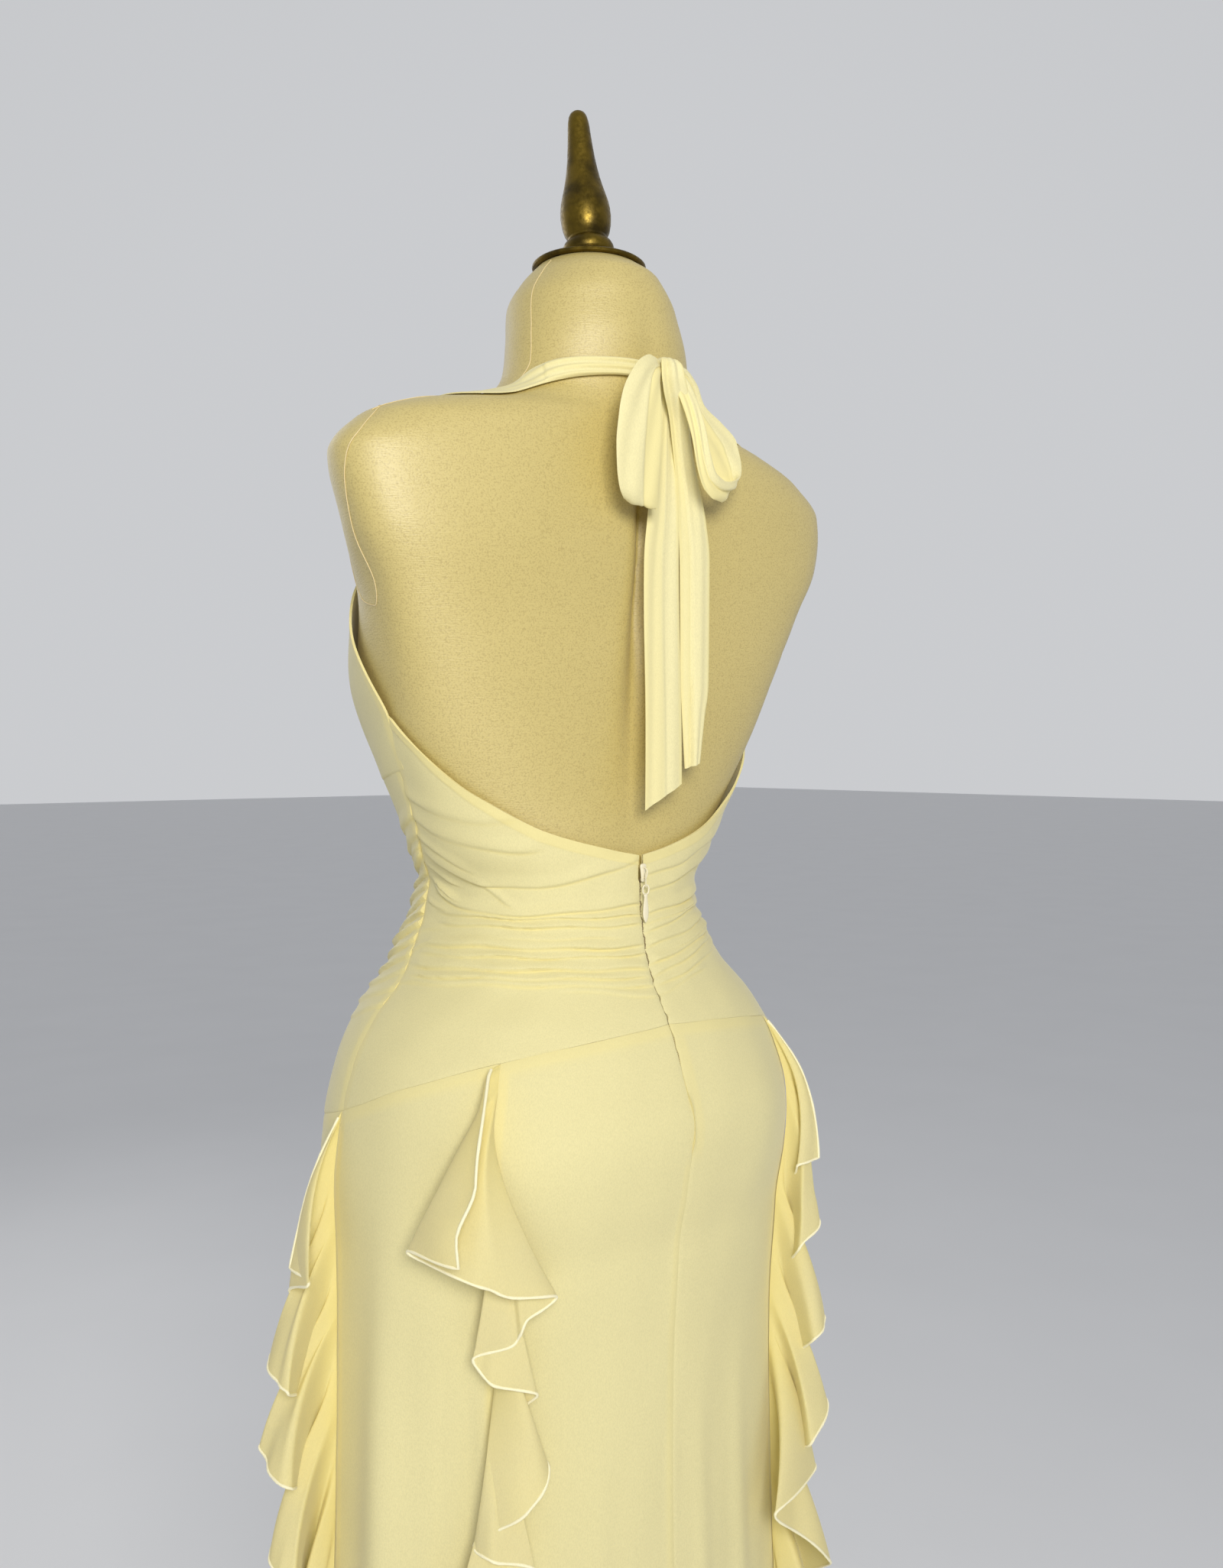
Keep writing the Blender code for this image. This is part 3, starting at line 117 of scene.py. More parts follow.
# Level sections of the figure, from the hem to the top of the neck.
# height, half width, y of the widest line, back depth, front depth, back power, front power
SECTIONS = (
    (0.045, 0.228, 0.0, 0.186, 0.186, 2.1, 2.1), (0.2, 0.207, 0.0, 0.161, 0.162, 2.1, 2.1),
    (0.4, 0.183, -0.001, 0.135, 0.136, 2.2, 2.2), (0.56, 0.172, -0.003, 0.121, 0.123, 2.2, 2.2),
    (0.7, 0.169, -0.003, 0.118, 0.121, 2.2, 2.2), (0.76, 0.168, -0.004, 0.12, 0.121, 2.2, 2.2),
    (0.829, 0.17, -0.001, 0.122, 0.122, 2.2, 2.2), (0.869, 0.171, -0.002, 0.131, 0.124, 2.2, 2.2),
    (0.908, 0.167, -0.003, 0.137, 0.123, 2.2, 2.2), (0.944, 0.16, -0.002, 0.126, 0.116, 2.2, 2.2),
    (0.975, 0.142, -0.004, 0.114, 0.11, 2.2, 2.2), (1.0, 0.119, -0.006, 0.101, 0.103, 2.2, 2.2),
    (1.02, 0.107, -0.009, 0.097, 0.098, 2.2, 2.2), (1.04, 0.097, -0.009, 0.093, 0.093, 2.2, 2.2),
    (1.06, 0.095, -0.004, 0.087, 0.091, 2.2, 2.2), (1.085, 0.109, 0.004, 0.079, 0.091, 2.3, 2.2),
    (1.12, 0.128, 0.0145, 0.0655, 0.1035, 2.5, 2.2), (1.17, 0.151, 0.024, 0.058, 0.134, 2.8, 2.1),
    (1.205, 0.163, 0.032, 0.054, 0.148, 3.0, 2.0), (1.25, 0.177, 0.048, 0.042, 0.138, 3.1, 1.9),
    (1.29, 0.196, 0.053, 0.041, 0.124, 3.0, 1.8), (1.33, 0.205, 0.047, 0.047, 0.109, 2.8, 1.8),
    (1.355, 0.184, 0.041, 0.053, 0.096, 2.5, 1.9), (1.369, 0.153, 0.036, 0.058, 0.088, 2.2, 2.0),
    (1.3785, 0.108, 0.037, 0.057, 0.078, 2.0, 2.0), (1.39, 0.08, 0.04, 0.055, 0.067, 2.0, 2.0),
    (1.406, 0.0695, 0.041, 0.055, 0.061, 2.0, 2.0), (1.43, 0.0655, 0.039, 0.057, 0.058, 2.0, 2.0),
    (1.455, 0.06, 0.034, 0.057, 0.058, 2.0, 2.0), (1.475, 0.047, 0.032, 0.052, 0.052, 2.0, 2.0),
    (1.487, 0.036, 0.031, 0.037, 0.039, 2.0, 2.0),
)

# Soft rises and hollows of the figure, mirrored left and right.
# angle, height, outward size, half width in degrees, half height
FIGURE_RELIEF = (
    (0.0, 1.27, -0.012, 11.0, 0.11), (36.0, 0.895, 0.003, 15.0, 0.035), (150.0, 1.205, 0.007, 17.0, 0.04),
    (180.0, 1.205, -0.006, 10.0, 0.045),
)

# Soft folds of the skirt: angle, width in degrees, outward size at the hem, height where it starts
SKIRT_FOLDS = (
    (17.0, 7.0, 0.011, 0.66), (35.0, 6.0, 0.008, 0.6), (70.0, 7.0, 0.012, 0.79), (109.0, 8.0, 0.012, 0.7),
    (131.0, 9.0, 0.014, 0.66), (158.0, 10.0, 0.012, 0.62), (180.0, 8.0, 0.009, 0.6),
    (-20.0, 7.0, 0.011, 0.64), (-36.0, 6.0, 0.009, 0.62), (-71.0, 7.0, 0.013, 0.75),
    (-111.0, 8.0, 0.013, 0.68), (-130.0, 9.0, 0.011, 0.7), (-160.0, 10.0, 0.014, 0.64),
)
FOLD_GROWTH = 0.55
RIPPLE_GROWTH = 0.22

# Slighter folds between them, in the same columns
SKIRT_RIPPLES = (
    (9.0, 2.5, 0.0014, 0.64), (26.0, 4.0, 0.0026, 0.76), (44.0, 3.0, 0.0024, 0.6),
    (60.5, 3.4, -0.005, 0.85), (77.0, 5.0, 0.0085, 0.9), (55.0, 2.5, 0.003, 0.84),
    (98.0, 3.0, -0.003, 0.72), (121.0, 3.4, -0.0034, 0.7), (145.0, 3.6, 0.003, 0.64),
    (170.0, 3.4, -0.0032, 0.64), (-12.0, 3.6, 0.0024, 0.78), (-30.0, 4.0, 0.003, 0.8),
    (-45.0, 2.8, -0.003, 0.64), (-61.0, 2.6, 0.0034, 0.76), (-80.0, 3.0, -0.0034, 0.76),
    (-99.0, 3.0, 0.0028, 0.7), (-120.0, 3.4, -0.0032, 0.7), (-146.0, 3.4, -0.003, 0.66),
    (-172.0, 3.2, 0.0026, 0.62),
)

# Upper edge of the back, from the zip to the side seam: angle, height
BACK_NECKLINE = (
    (0.0, 1.081), (18.0, 1.0865), (46.0, 1.099), (70.0, 1.1245), (90.0, 1.174),
)

# Dropped waist seam, from centre back to centre front: angle, height
BASQUE_SEAM = (
    (0.0, 0.9716), (26.0, 0.9676), (52.0, 0.9582), (72.0, 0.943), (93.0, 0.919), (120.0, 0.897),
    (150.0, 0.871), (180.0, 0.848),
)

# Rows of a halter panel, from the underbust seam up to the neck band.
# outer edge angle, outer edge height, inner edge angle, inner edge height
HALTER_ROWS = (
    (90.0, 1.14, 180.0, 1.11), (90.0, 1.157, 180.0, 1.138), (90.0, 1.174, 180.0, 1.165),
    (97.0, 1.205, 174.5, 1.19), (105.0, 1.227, 169.0, 1.218), (112.0, 1.2455, 164.5, 1.247),
    (123.0, 1.274, 159.0, 1.282), (131.0, 1.304, 154.0, 1.317), (134.5, 1.337, 150.0, 1.346),
    (135.0, 1.364, 148.0, 1.37),
)
HALTER_LIFT = 0.002
HALTER_LIFT_GROWTH = 0.04

# Rows of the neck band's left half, from the halter panel to centre back, in the same columns
BAND_ROWS = (
    (134.9, 1.3644, 147.9, 1.3704), (129.0, 1.368, 140.5, 1.3745), (120.0, 1.3718, 129.0, 1.379),
    (108.0, 1.3738, 114.0, 1.3815), (96.0, 1.3742, 101.0, 1.3825), (86.0, 1.3738, 92.0, 1.3828),
    (77.0, 1.373, 86.5, 1.384), (70.5, 1.3742, 82.0, 1.389), (68.8, 1.379, 77.0, 1.3985),
    (65.5, 1.3845, 69.0, 1.4025), (59.0, 1.3885, 59.5, 1.4045), (50.0, 1.3915, 49.0, 1.4055),
    (24.0, 1.3955, 23.0, 1.407), (0.0, 1.3965, 0.0, 1.408),
)

# Bow of the waist's side seam towards the front, in degrees, and its spread above and below
SIDE_BOW = 8.5
SIDE_BOW_HEIGHT = 1.06
SIDE_BOW_ABOVE = 0.03
SIDE_BOW_BELOW = 0.043

# Creases of the back's left waist panel, in degrees from centre back.
# from, to, height at the start, at a third, at two thirds, at the end, outward size, width
LEFT_CREASES = (
    (55.0, 100.0, 1.108, 1.1065, 1.114, 1.131, 0.001, 0.012),
    (45.0, 100.0, 1.088, 1.0875, 1.0965, 1.113, 0.0013, 0.013),
    (0.0, 98.0, 1.078, 1.0655, 1.0635, 1.089, 0.0017, 0.012),
    (50.0, 74.0, 1.0465, 1.053, 1.061, 1.068, 0.0014, 0.008),
    (0.0, 98.0, 1.048, 1.0445, 1.044, 1.06, 0.0022, 0.011),
    (0.0, 92.0, 1.0405, 1.041, 1.041, 1.042, 0.0017, 0.006),
    (0.0, 88.0, 1.0345, 1.035, 1.035, 1.033, 0.0019, 0.0064),
    (8.0, 60.0, 1.0275, 1.028, 1.028, 1.027, 0.0009, 0.006),
    (0.0, 92.0, 1.0205, 1.0215, 1.022, 1.018, 0.0021, 0.0085),
    (0.0, 92.0, 1.015, 1.016, 1.016, 1.0125, 0.0017, 0.0055),
    (0.0, 94.0, 1.005, 1.008, 1.008, 1.005, 0.0021, 0.0085),
    (0.0, 94.0, 0.9995, 1.003, 1.003, 0.998, 0.0016, 0.0055),
    (0.0, 96.0, 0.993, 0.9985, 0.999, 0.993, 0.0015, 0.007),
    (0.0, 38.0, 0.9875, 0.9905, 0.994, 0.9965, 0.0011, 0.006),
    (70.0, 82.0, 1.0235, 1.025, 1.0265, 1.028, 0.0011, 0.0045),
    (63.0, 75.0, 1.0235, 1.025, 1.0265, 1.028, 0.0011, 0.0045),
    (58.0, 69.0, 1.024, 1.0265, 1.029, 1.0315, 0.0011, 0.0045),
    (51.0, 66.0, 1.008, 1.012, 1.016, 1.02, 0.001, 0.005),
    (44.0, 59.0, 1.008, 1.012, 1.016, 1.02, 0.001, 0.005),
    (68.0, 102.0, 1.072, 1.079, 1.09, 1.102, 0.0014, 0.008),
    (76.0, 102.0, 1.061, 1.065, 1.072, 1.079, 0.0014, 0.006),
    (74.0, 103.0, 1.05, 1.054, 1.061, 1.069, 0.0013, 0.0055),
    (78.0, 103.0, 1.042, 1.044, 1.047, 1.052, 0.0012, 0.0045),
    (80.0, 101.0, 1.03, 1.029, 1.027, 1.024, 0.0011, 0.0045),
    (82.0, 100.0, 1.021, 1.019, 1.015, 1.009, 0.0012, 0.0045),
)

# Creases of the back's right waist panel in the same columns
RIGHT_CREASES = (
    (0.0, 96.0, 1.067, 1.076, 1.093, 1.11, 0.0013, 0.012),
    (0.0, 96.0, 1.055, 1.0655, 1.079, 1.093, 0.0018, 0.011),
    (0.0, 94.0, 1.0395, 1.0465, 1.053, 1.064, 0.0021, 0.01),
    (0.0, 44.0, 1.0335, 1.0375, 1.0405, 1.043, 0.0013, 0.006),
    (0.0, 94.0, 1.0275, 1.038, 1.0435, 1.051, 0.0021, 0.0085),
    (0.0, 94.0, 1.019, 1.027, 1.032, 1.0385, 0.002, 0.008),
    (10.0, 60.0, 1.0155, 1.019, 1.0225, 1.025, 0.001, 0.005),
    (0.0, 94.0, 1.007, 1.017, 1.024, 1.03, 0.0021, 0.0085),
    (0.0, 92.0, 0.999, 1.011, 1.018, 1.023, 0.0018, 0.007),
    (0.0, 88.0, 0.993, 1.0035, 1.011, 1.016, 0.0015, 0.0065),
    (0.0, 34.0, 0.9885, 0.9925, 0.9965, 1.0, 0.0011, 0.006),
    (62.0, 92.0, 1.064, 1.068, 1.073, 1.079, 0.0013, 0.007),
)

# How much the creases are deepened, how far each crease's line wanders, the share of a crease that is its
# lip, the degrees over which its ends fade, and the width, depth and full size of its dark line, a slight
# groove that is also painted as shade
CREASE_STRENGTH = 1.1
CREASE_WANDER = 0.0006
CREASE_LIP = 0.2
CREASE_FADE = 9.0
CREASE_LINE_WIDTH = 0.0009
CREASE_LINE_DEPTH = 0.0003
CREASE_FULL_SIZE = 0.0022

# Creases of the front waist panel in the same columns, from the left side seam to the right
FRONT_CREASES = (
    (84.0, 276.0, 1.118, 1.079, 1.08, 1.117, 0.0016, 0.012),
    (84.0, 276.0, 1.106, 1.065, 1.064, 1.105, 0.002, 0.011),
    (84.0, 150.0, 1.099, 1.081, 1.07, 1.063, 0.0012, 0.006),
    (84.0, 276.0, 1.095, 1.051, 1.05, 1.094, 0.0022, 0.0105),
    (84.0, 276.0, 1.085, 1.039, 1.04, 1.084, 0.0024, 0.01),
    (200.0, 276.0, 1.044, 1.051, 1.059, 1.068, 0.0012, 0.006),
    (84.0, 276.0, 1.075, 1.028, 1.027, 1.074, 0.0026, 0.01),
    (84.0, 276.0, 1.065, 1.017, 1.017, 1.064, 0.0026, 0.01),
    (84.0, 276.0, 1.055, 1.007, 1.006, 1.055, 0.0026, 0.01),
    (84.0, 160.0, 1.048, 1.02, 1.007, 0.999, 0.0014, 0.0055),
    (84.0, 276.0, 1.044, 0.997, 0.998, 1.044, 0.0025, 0.0095),
    (84.0, 276.0, 1.033, 0.987, 0.987, 1.034, 0.0024, 0.009),
    (84.0, 276.0, 1.022, 0.977, 0.977, 1.023, 0.0022, 0.0085),
    (84.0, 276.0, 1.011, 0.967, 0.966, 1.011, 0.0019, 0.008),
    (84.0, 276.0, 1.0, 0.957, 0.957, 1.0, 0.0016, 0.008),
    (84.0, 276.0, 0.989, 0.947, 0.947, 0.989, 0.0012, 0.008),
)

# Turning points of a ruffle's free edge, from the top of its seam down: distance of its root
# below the top, drop of the edge below its root, distance to the outer (+) or inner (-) side
# of the seam, distance off the skirt
BACK_LEFT_EDGE = (
    (0.0, 0.095, 0.013, 0.042), (0.01, 0.089, 0.04, 0.022), (0.016, 0.095, 0.008, 0.029),
    (0.026, 0.096, -0.005, 0.027), (0.038, 0.094, -0.03, 0.015), (0.048, 0.095, -0.013, 0.018),
    (0.06, 0.096, -0.008, 0.018), (0.07, 0.096, 0.012, 0.014), (0.082, 0.098, 0.003, 0.018),
    (0.094, 0.097, -0.02, 0.016), (0.118, 0.1, 0.0, 0.005), (0.14, 0.095, -0.025, 0.018),
    (0.16, 0.096, -0.012, 0.026), (0.181, 0.098, 0.012, 0.014), (0.191, 0.093, 0.003, 0.024),
    (0.201, 0.094, -0.017, 0.018),
)

# The same for the ruffle at the back's right, whose upper folds stand on edge
BACK_RIGHT_EDGE = (
    (0.0, 0.096, 0.004, 0.025), (0.004, 0.095, -0.008, 0.014), (0.024, 0.099, 0.01, 0.008),
    (0.047, 0.095, 0.004, 0.031), (0.06, 0.097, -0.01, 0.022), (0.09, 0.098, 0.012, 0.01),
    (0.123, 0.092, 0.006, 0.039), (0.13, 0.094, -0.006, 0.035), (0.157, 0.098, 0.014, 0.012),
    (0.186, 0.091, 0.008, 0.041), (0.202, 0.094, -0.01, 0.032), (0.214, 0.098, 0.008, 0.02),
    (0.226, 0.095, 0.0, 0.033), (0.241, 0.088, -0.043, 0.02), (0.262, 0.092, -0.02, 0.026),
    (0.299, 0.091, 0.004, 0.041),
)

# The same for the ruffles of the side seams
SIDE_EDGE = (
    (0.0, 0.09, 0.0, 0.031), (0.005, 0.088, -0.02, 0.03), (0.016, 0.09, 0.004, 0.03),
    (0.038, 0.092, 0.012, 0.014), (0.062, 0.087, 0.008, 0.041), (0.069, 0.088, -0.006, 0.044),
    (0.074, 0.088, -0.014, 0.04), (0.096, 0.092, 0.012, 0.015), (0.12, 0.085, 0.006, 0.047),
    (0.127, 0.086, -0.006, 0.047), (0.131, 0.088, -0.016, 0.041), (0.153, 0.092, 0.012, 0.015),
    (0.179, 0.088, 0.002, 0.042), (0.187, 0.088, -0.01, 0.044), (0.195, 0.089, -0.018, 0.036),
)
CASCADE_ROOT_GAP = 0.0004
CASCADE_BULGE = 0.005
CASCADE_FLUTTER = 0.0009
LAST_ROOT = 0.758
FOLD_STEP = 0.043

# Folds below the turning points, at their crests and troughs: drop, distance aside, distance off
LOWER_CREST = (0.104, 0.023, 0.017)
LOWER_TROUGH = (0.103, 0.006, 0.03)
RUFFLE_WALL = 0.0006
MERROW_RADIUS = 0.00095

# name, seam angle, upper turning points, phase of the lower folds, hold of the first edge by its seam
CASCADES = (
    ("cascade_back_left", PRINCESS_ANGLE, BACK_LEFT_EDGE, 0.0, 1.0),
    ("cascade_back_right", -PRINCESS_ANGLE, BACK_RIGHT_EDGE, 1.7, 0.0),
    ("cascade_side_left", SIDE_ANGLE, SIDE_EDGE, 3.1, 0.0),
    ("cascade_side_right", -SIDE_ANGLE, SIDE_EDGE, 4.4, 0.0),
)

KNOT_CENTRE = (-0.003, 0.1075, 1.401)
KNOT_SIZE = (0.02, 0.0133, 0.022)
KNOT_TIGHTNESS = (0.78, 0.9, 0.72)
LOOP_HALF_WALL = 0.0008
TAIL_HALF_WALL = 0.0007
BACK_PLANE_Y = 0.0965

# The two edges of the left loop, from its front layer round to its back layer, each as
# side shift from the knot, distance out from the back plane and distance below the knot
LOOP_LEFT_EDGES = (
    (0.006, 0.012, 0.0007, 0.004, 0.012, 0.0029), (0.0085, 0.0155, -0.0012, 0.006, 0.0155, 0.0029),
    (0.0145, 0.0185, -0.0032, 0.0095, 0.0185, 0.004), (0.0224, 0.0215, -0.0036, 0.0123, 0.021, 0.0072),
    (0.0326, 0.024, 0.0013, 0.0141, 0.023, 0.0129), (0.0411, 0.025, 0.0114, 0.0149, 0.0245, 0.0199),
    (0.0476, 0.025, 0.0237, 0.015, 0.025, 0.0299), (0.0515, 0.025, 0.0393, 0.0153, 0.025, 0.0442),
    (0.0535, 0.0245, 0.0565, 0.0154, 0.0245, 0.058), (0.0517, 0.023, 0.0731, 0.0154, 0.0235, 0.0746),
    (0.0474, 0.021, 0.085, 0.015, 0.0222, 0.088), (0.041, 0.0175, 0.0895, 0.0139, 0.0195, 0.0946),
    (0.0386, 0.0145, 0.0868, 0.0124, 0.0165, 0.092), (0.0396, 0.013, 0.076, 0.0107, 0.014, 0.08),
    (0.0395, 0.012, 0.0585, 0.0083, 0.0125, 0.0607), (0.0374, 0.0115, 0.0385, 0.0076, 0.012, 0.0382),
    (0.0288, 0.0115, 0.0174, 0.0061, 0.012, 0.0179), (0.0156, 0.0115, 0.0052, 0.0042, 0.012, 0.0069),
    (0.0046, 0.011, 0.001, 0.0016, 0.011, 0.0027),
)

# The same for the right loop, from its back layer out, round its end and back in front
LOOP_RIGHT_EDGES = (
    (-0.0016, 0.0125, -0.001, -0.0029, 0.0115, 0.0022),
    (-0.0133, 0.015, -0.0034, -0.0096, 0.0125, 0.0032), (-0.0255, 0.0145, 0.0049, -0.0185, 0.012, 0.0118),
    (-0.0338, 0.013, 0.0175, -0.0245, 0.0115, 0.0252), (-0.0508, 0.012, 0.0265, -0.0305, 0.0115, 0.0393),
    (-0.0655, 0.012, 0.0373, -0.039, 0.0115, 0.0537), (-0.0678, 0.014, 0.0495, -0.0454, 0.0135, 0.0693),
    (-0.0603, 0.0195, 0.0625, -0.0446, 0.019, 0.0827), (-0.0418, 0.026, 0.0697, -0.0327, 0.025, 0.083),
    (-0.0303, 0.0285, 0.0667, -0.0201, 0.028, 0.0778), (-0.0235, 0.029, 0.0548, -0.0121, 0.029, 0.0643),
    (-0.0201, 0.0285, 0.0417, -0.0083, 0.0285, 0.047), (-0.0175, 0.0265, 0.0282, -0.0053, 0.0265, 0.0325),
    (-0.0141, 0.0235, 0.0147, -0.0015, 0.0235, 0.0192), (-0.0092, 0.0195, 0.0048, 0.0015, 0.0195, 0.01),
    (-0.0028, 0.015, 0.0012, 0.0013, 0.015, 0.0047),
)

# Tails: side shift of the left edge and of the right edge, distance out, height
TAIL_LEFT_ROWS = (
    (0.0045, -0.0045, 0.011, 1.394), (0.0049, -0.0059, 0.0105, 1.3867), (0.0066, -0.01, 0.0085, 1.365),
    (0.0088, -0.0147, 0.006, 1.3295), (0.0105, -0.0173, 0.0045, 1.3027), (0.0119, -0.0187, 0.004, 1.2756),
    (0.0117, -0.02, 0.0035, 1.23), (0.0114, -0.0207, 0.0035, 1.18), (0.0116, -0.021, 0.0035, 1.129),
)
TAIL_LEFT_TIP = 0.017
TAIL_RIGHT_ROWS = (
    (0.006, 0.001, 0.014, 1.403), (0.0105, 0.0, 0.02, 1.4055), (0.0128, -0.0018, 0.0235, 1.401),
    (0.013, -0.0036, 0.024, 1.3945), (0.0095, -0.0097, 0.0215, 1.3844),
    (-0.0016, -0.0174, 0.0145, 1.3696), (-0.0091, -0.0252, 0.01, 1.3513),
    (-0.0143, -0.0336, 0.0072, 1.3323), (-0.0178, -0.0414, 0.0055, 1.3056),
    (-0.02, -0.0449, 0.0045, 1.2783), (-0.0217, -0.0441, 0.004, 1.1975), (-0.0235, -0.041, 0.004, 1.175),
    (-0.0265, -0.037, 0.004, 1.143),
)
TAIL_RIGHT_TIP = 0.004

# The seam round the form's cut-off arm: angle, height
CAP_SEAM_ROWS = (
    (92.0, 1.364), (86.1, 1.3585), (84.9, 1.341), (86.9, 1.3245), (89.1, 1.3095), (90.9, 1.2925),
    (91.6, 1.276), (90.4, 1.254), (92.0, 1.24), (98.0, 1.244), (104.0, 1.26), (106.0, 1.29),
    (105.0, 1.32), (100.0, 1.35), (92.0, 1.364),
)

# The shoulder seam of the form's cover, from the neck out: share of its length, angle, height
SHOULDER_SEAM_ROWS = (
    (0.0, 80.0, 1.484), (0.3, 80.0, 1.44), (0.5, 79.0, 1.405), (0.7, 83.0, 1.38), (1.0, 87.0, 1.356),
)
SEAM_THREAD_RADIUS = 0.0003
SEAM_THREAD_OUT = 0.0001

# Turned pieces, as radius and height from axis to axis
NECK_AXIS_Y = 0.031
FINIAL_RISE = 0.0022
FINIAL_LEAN = 7.0
DISC_PROFILE = (
    (0.0, 0.0), (0.0385, 0.0), (0.0396, 0.0006), (0.04, 0.0015), (0.0398, 0.0024), (0.0388, 0.0032),
    (0.036, 0.0038), (0.03, 0.0052), (0.028, 0.0056), (0.02, 0.006), (0.019, 0.0064), (0.0186, 0.0066),
    (0.0, 0.0066),
)
FINIAL_PROFILE = (
    (0.0, 0.0), (0.015, 0.0), (0.0168, 0.001), (0.0178, 0.003), (0.0182, 0.0052), (0.018, 0.0074),
    (0.0168, 0.01), (0.015, 0.0118), (0.0138, 0.0132), (0.0137, 0.0148), (0.0148, 0.0164),
    (0.016, 0.0188), (0.0172, 0.0235), (0.0178, 0.03), (0.0176, 0.035), (0.0168, 0.0405),
    (0.0155, 0.0455), (0.0138, 0.052), (0.0122, 0.059), (0.0108, 0.067), (0.0098, 0.074), (0.009, 0.082),
    (0.0083, 0.09), (0.0078, 0.097), (0.0073, 0.101), (0.0066, 0.1045), (0.0054, 0.107), (0.0036, 0.1085),
    (0.0, 0.109),
)
BASE_PROFILE = (
    (0.0, 0.0), (0.159, 0.0), (0.16, 0.001), (0.16, 0.0055), (0.159, 0.0078), (0.156, 0.0098),
    (0.15, 0.0108), (0.1, 0.0143), (0.07, 0.0162), (0.05, 0.0188), (0.04, 0.0212), (0.032, 0.025),
    (0.029, 0.0278), (0.023, 0.031), (0.02, 0.0335), (0.019, 0.034), (0.0, 0.034),
)
POLE_RADIUS = 0.0125
POLE_BEVEL = 0.0005
POLE_BOTTOM = 0.0343
POLE_TOP = 0.6997

CAMERA_PLACE = (0.564, 0.74, 1.15)
CAMERA_TURN = 140.5
CAMERA_LENS = 29.65
CAMERA_SHIFT = -0.02

# The room's light: its colours away from and towards the pale wall that the camera sees
WALL_DIRECTION = (-0.636, -0.772, 0.0)
ROOM_STRENGTH = 0.64
ROOM_COLOURS = ((0.15, (0.43, 0.44, 0.46)), (0.95, (0.93, 0.945, 0.975)))

# Lamps: name, place, power, size, colour
LAMPS = (
    ("key", (1.12, 1.97, 1.80), 48.0, 0.9, (1.0, 0.985, 0.955)),
    ("front", (0.30, -2.40, 2.00), 11.0, 1.6, (1.0, 0.99, 0.97)),
)

# Cloths: name, colour, deeper colour of doubled cloth that is also painted as shade along the waist's
# creases, colour of the light that comes through, its share
CLOTH_FINISHES = (
    ("mesh_cloth", (0.86, 0.785, 0.42), (0.88, 0.77, 0.33), (0.90, 0.76, 0.30), 0.14),
    ("ruffle_cloth", (0.93, 0.86, 0.50), (0.94, 0.83, 0.34), (0.97, 0.88, 0.38), 0.36),
    ("bow_cloth", (0.93, 0.86, 0.49), (0.92, 0.82, 0.38), (0.95, 0.84, 0.38), 0.16),
)

# Finishes of two mingled tones: name, colour, roughness, metallic, more of the shader's values,
# scale, detail and stretch of the mingling, its tones, and strength and depth of its bumps
TONED_FINISHES = (
    ("merrow_thread", (0.90, 0.84, 0.55), 0.65, 0.0, {"Sheen_Weight": 0.2},
     (1100.0, 1.0, (1.0, 1.0, 1.6)), (0.84, 0.77, 0.47), (0.95, 0.90, 0.64), (0.5, 0.0004)),
    ("seam_thread", (0.72, 0.58, 0.30), 0.6, 0.0, {},
     (1600.0, 1.0), (0.62, 0.48, 0.22), (0.82, 0.70, 0.42), ()),
    ("stand_metal", (0.06, 0.05, 0.04), 0.42, 0.6, {},
     (380.0, 3.0), (0.05, 0.04, 0.03), (0.10, 0.085, 0.065), (0.2, 0.0003)),
    ("zip_ivory", (0.80, 0.74, 0.55), 0.32, 0.0, {"Coat_Weight": 0.25},
     (160.0, 2.0), (0.84, 0.78, 0.58), (0.74, 0.67, 0.46), (0.1, 0.0003)),
    ("zip_shadow", (0.22, 0.15, 0.07), 0.6, 0.0, {},
     (900.0, 1.0, (1.0, 1.0, 2.0)), (0.17, 0.11, 0.05), (0.34, 0.25, 0.12), ()),
    ("studio_floor", (0.82, 0.825, 0.84), 0.6, 0.0, {},
     (3.0, 2.0), (0.84, 0.845, 0.86), (0.80, 0.805, 0.82), ()),
)

# Edges of the panels: how wide and how deep the outer face turns in
ZIP_ROLL = (0.0014, 0.0007)
SIDE_ROLL = (0.0022, 0.0006)
SKIRT_ROLL = (0.0014, 0.0004)
LEVEL_ROLL = (0.0014, 0.0003)
HALTER_ROLL = (0.002, 0.0006)

# Hems and seam allowances: widths, how much they rise, and over what they fade
WAIST_HEM = 0.006
HALTER_HEM = 0.005
NECK_HEM_RISE = 0.00035
HEM_WIDTH = 0.012
HEM_RISE = 0.00045
WAIST_ALLOWANCE = 0.004
SKIRT_ALLOWANCE = 0.006
ALLOWANCE_RISE = 0.00012
STRIP_FADE = 0.001
SOFT_FADE = 0.0012
WAIST_UNEVEN = 0.0003
DEEPEST_FOLD = 0.0008

# The neck band: its distance off the form at the nape, how much less on the shoulder and how much
# more at the halter panels, its edge's thickness, its middle's, its folds' and its join's
NAPE_LIFT = 0.0022
SHOULDER_DROP = 0.0013
PANEL_RISE = 0.0034
BAND_EDGE = 0.0004
BAND_CROWN = 0.0008
BAND_RIDGE = 0.0013
BAND_JOIN = 0.0009

# Folds of the halter panels at the band and at the bust, and gathers of the bow by its width
PLEAT_SIZE = 0.0011
DRAG_SIZE = 0.001
GATHER_SHARE = 0.07

# Steps along and across each cloth
WAIST_GRID = (200, 72)
FRONT_GRID = (190, 130)
SKIRT_ROWS = 190
HALTER_GRID = (150, 64)
BAND_GRID = (130, 28)
LOOP_GRID = (190, 36)
TAIL_GRID = (190, 32)
KNOT_GRID = (48, 64)
STEPS_A_FOLD = 14
CASCADE_COLUMNS = 22

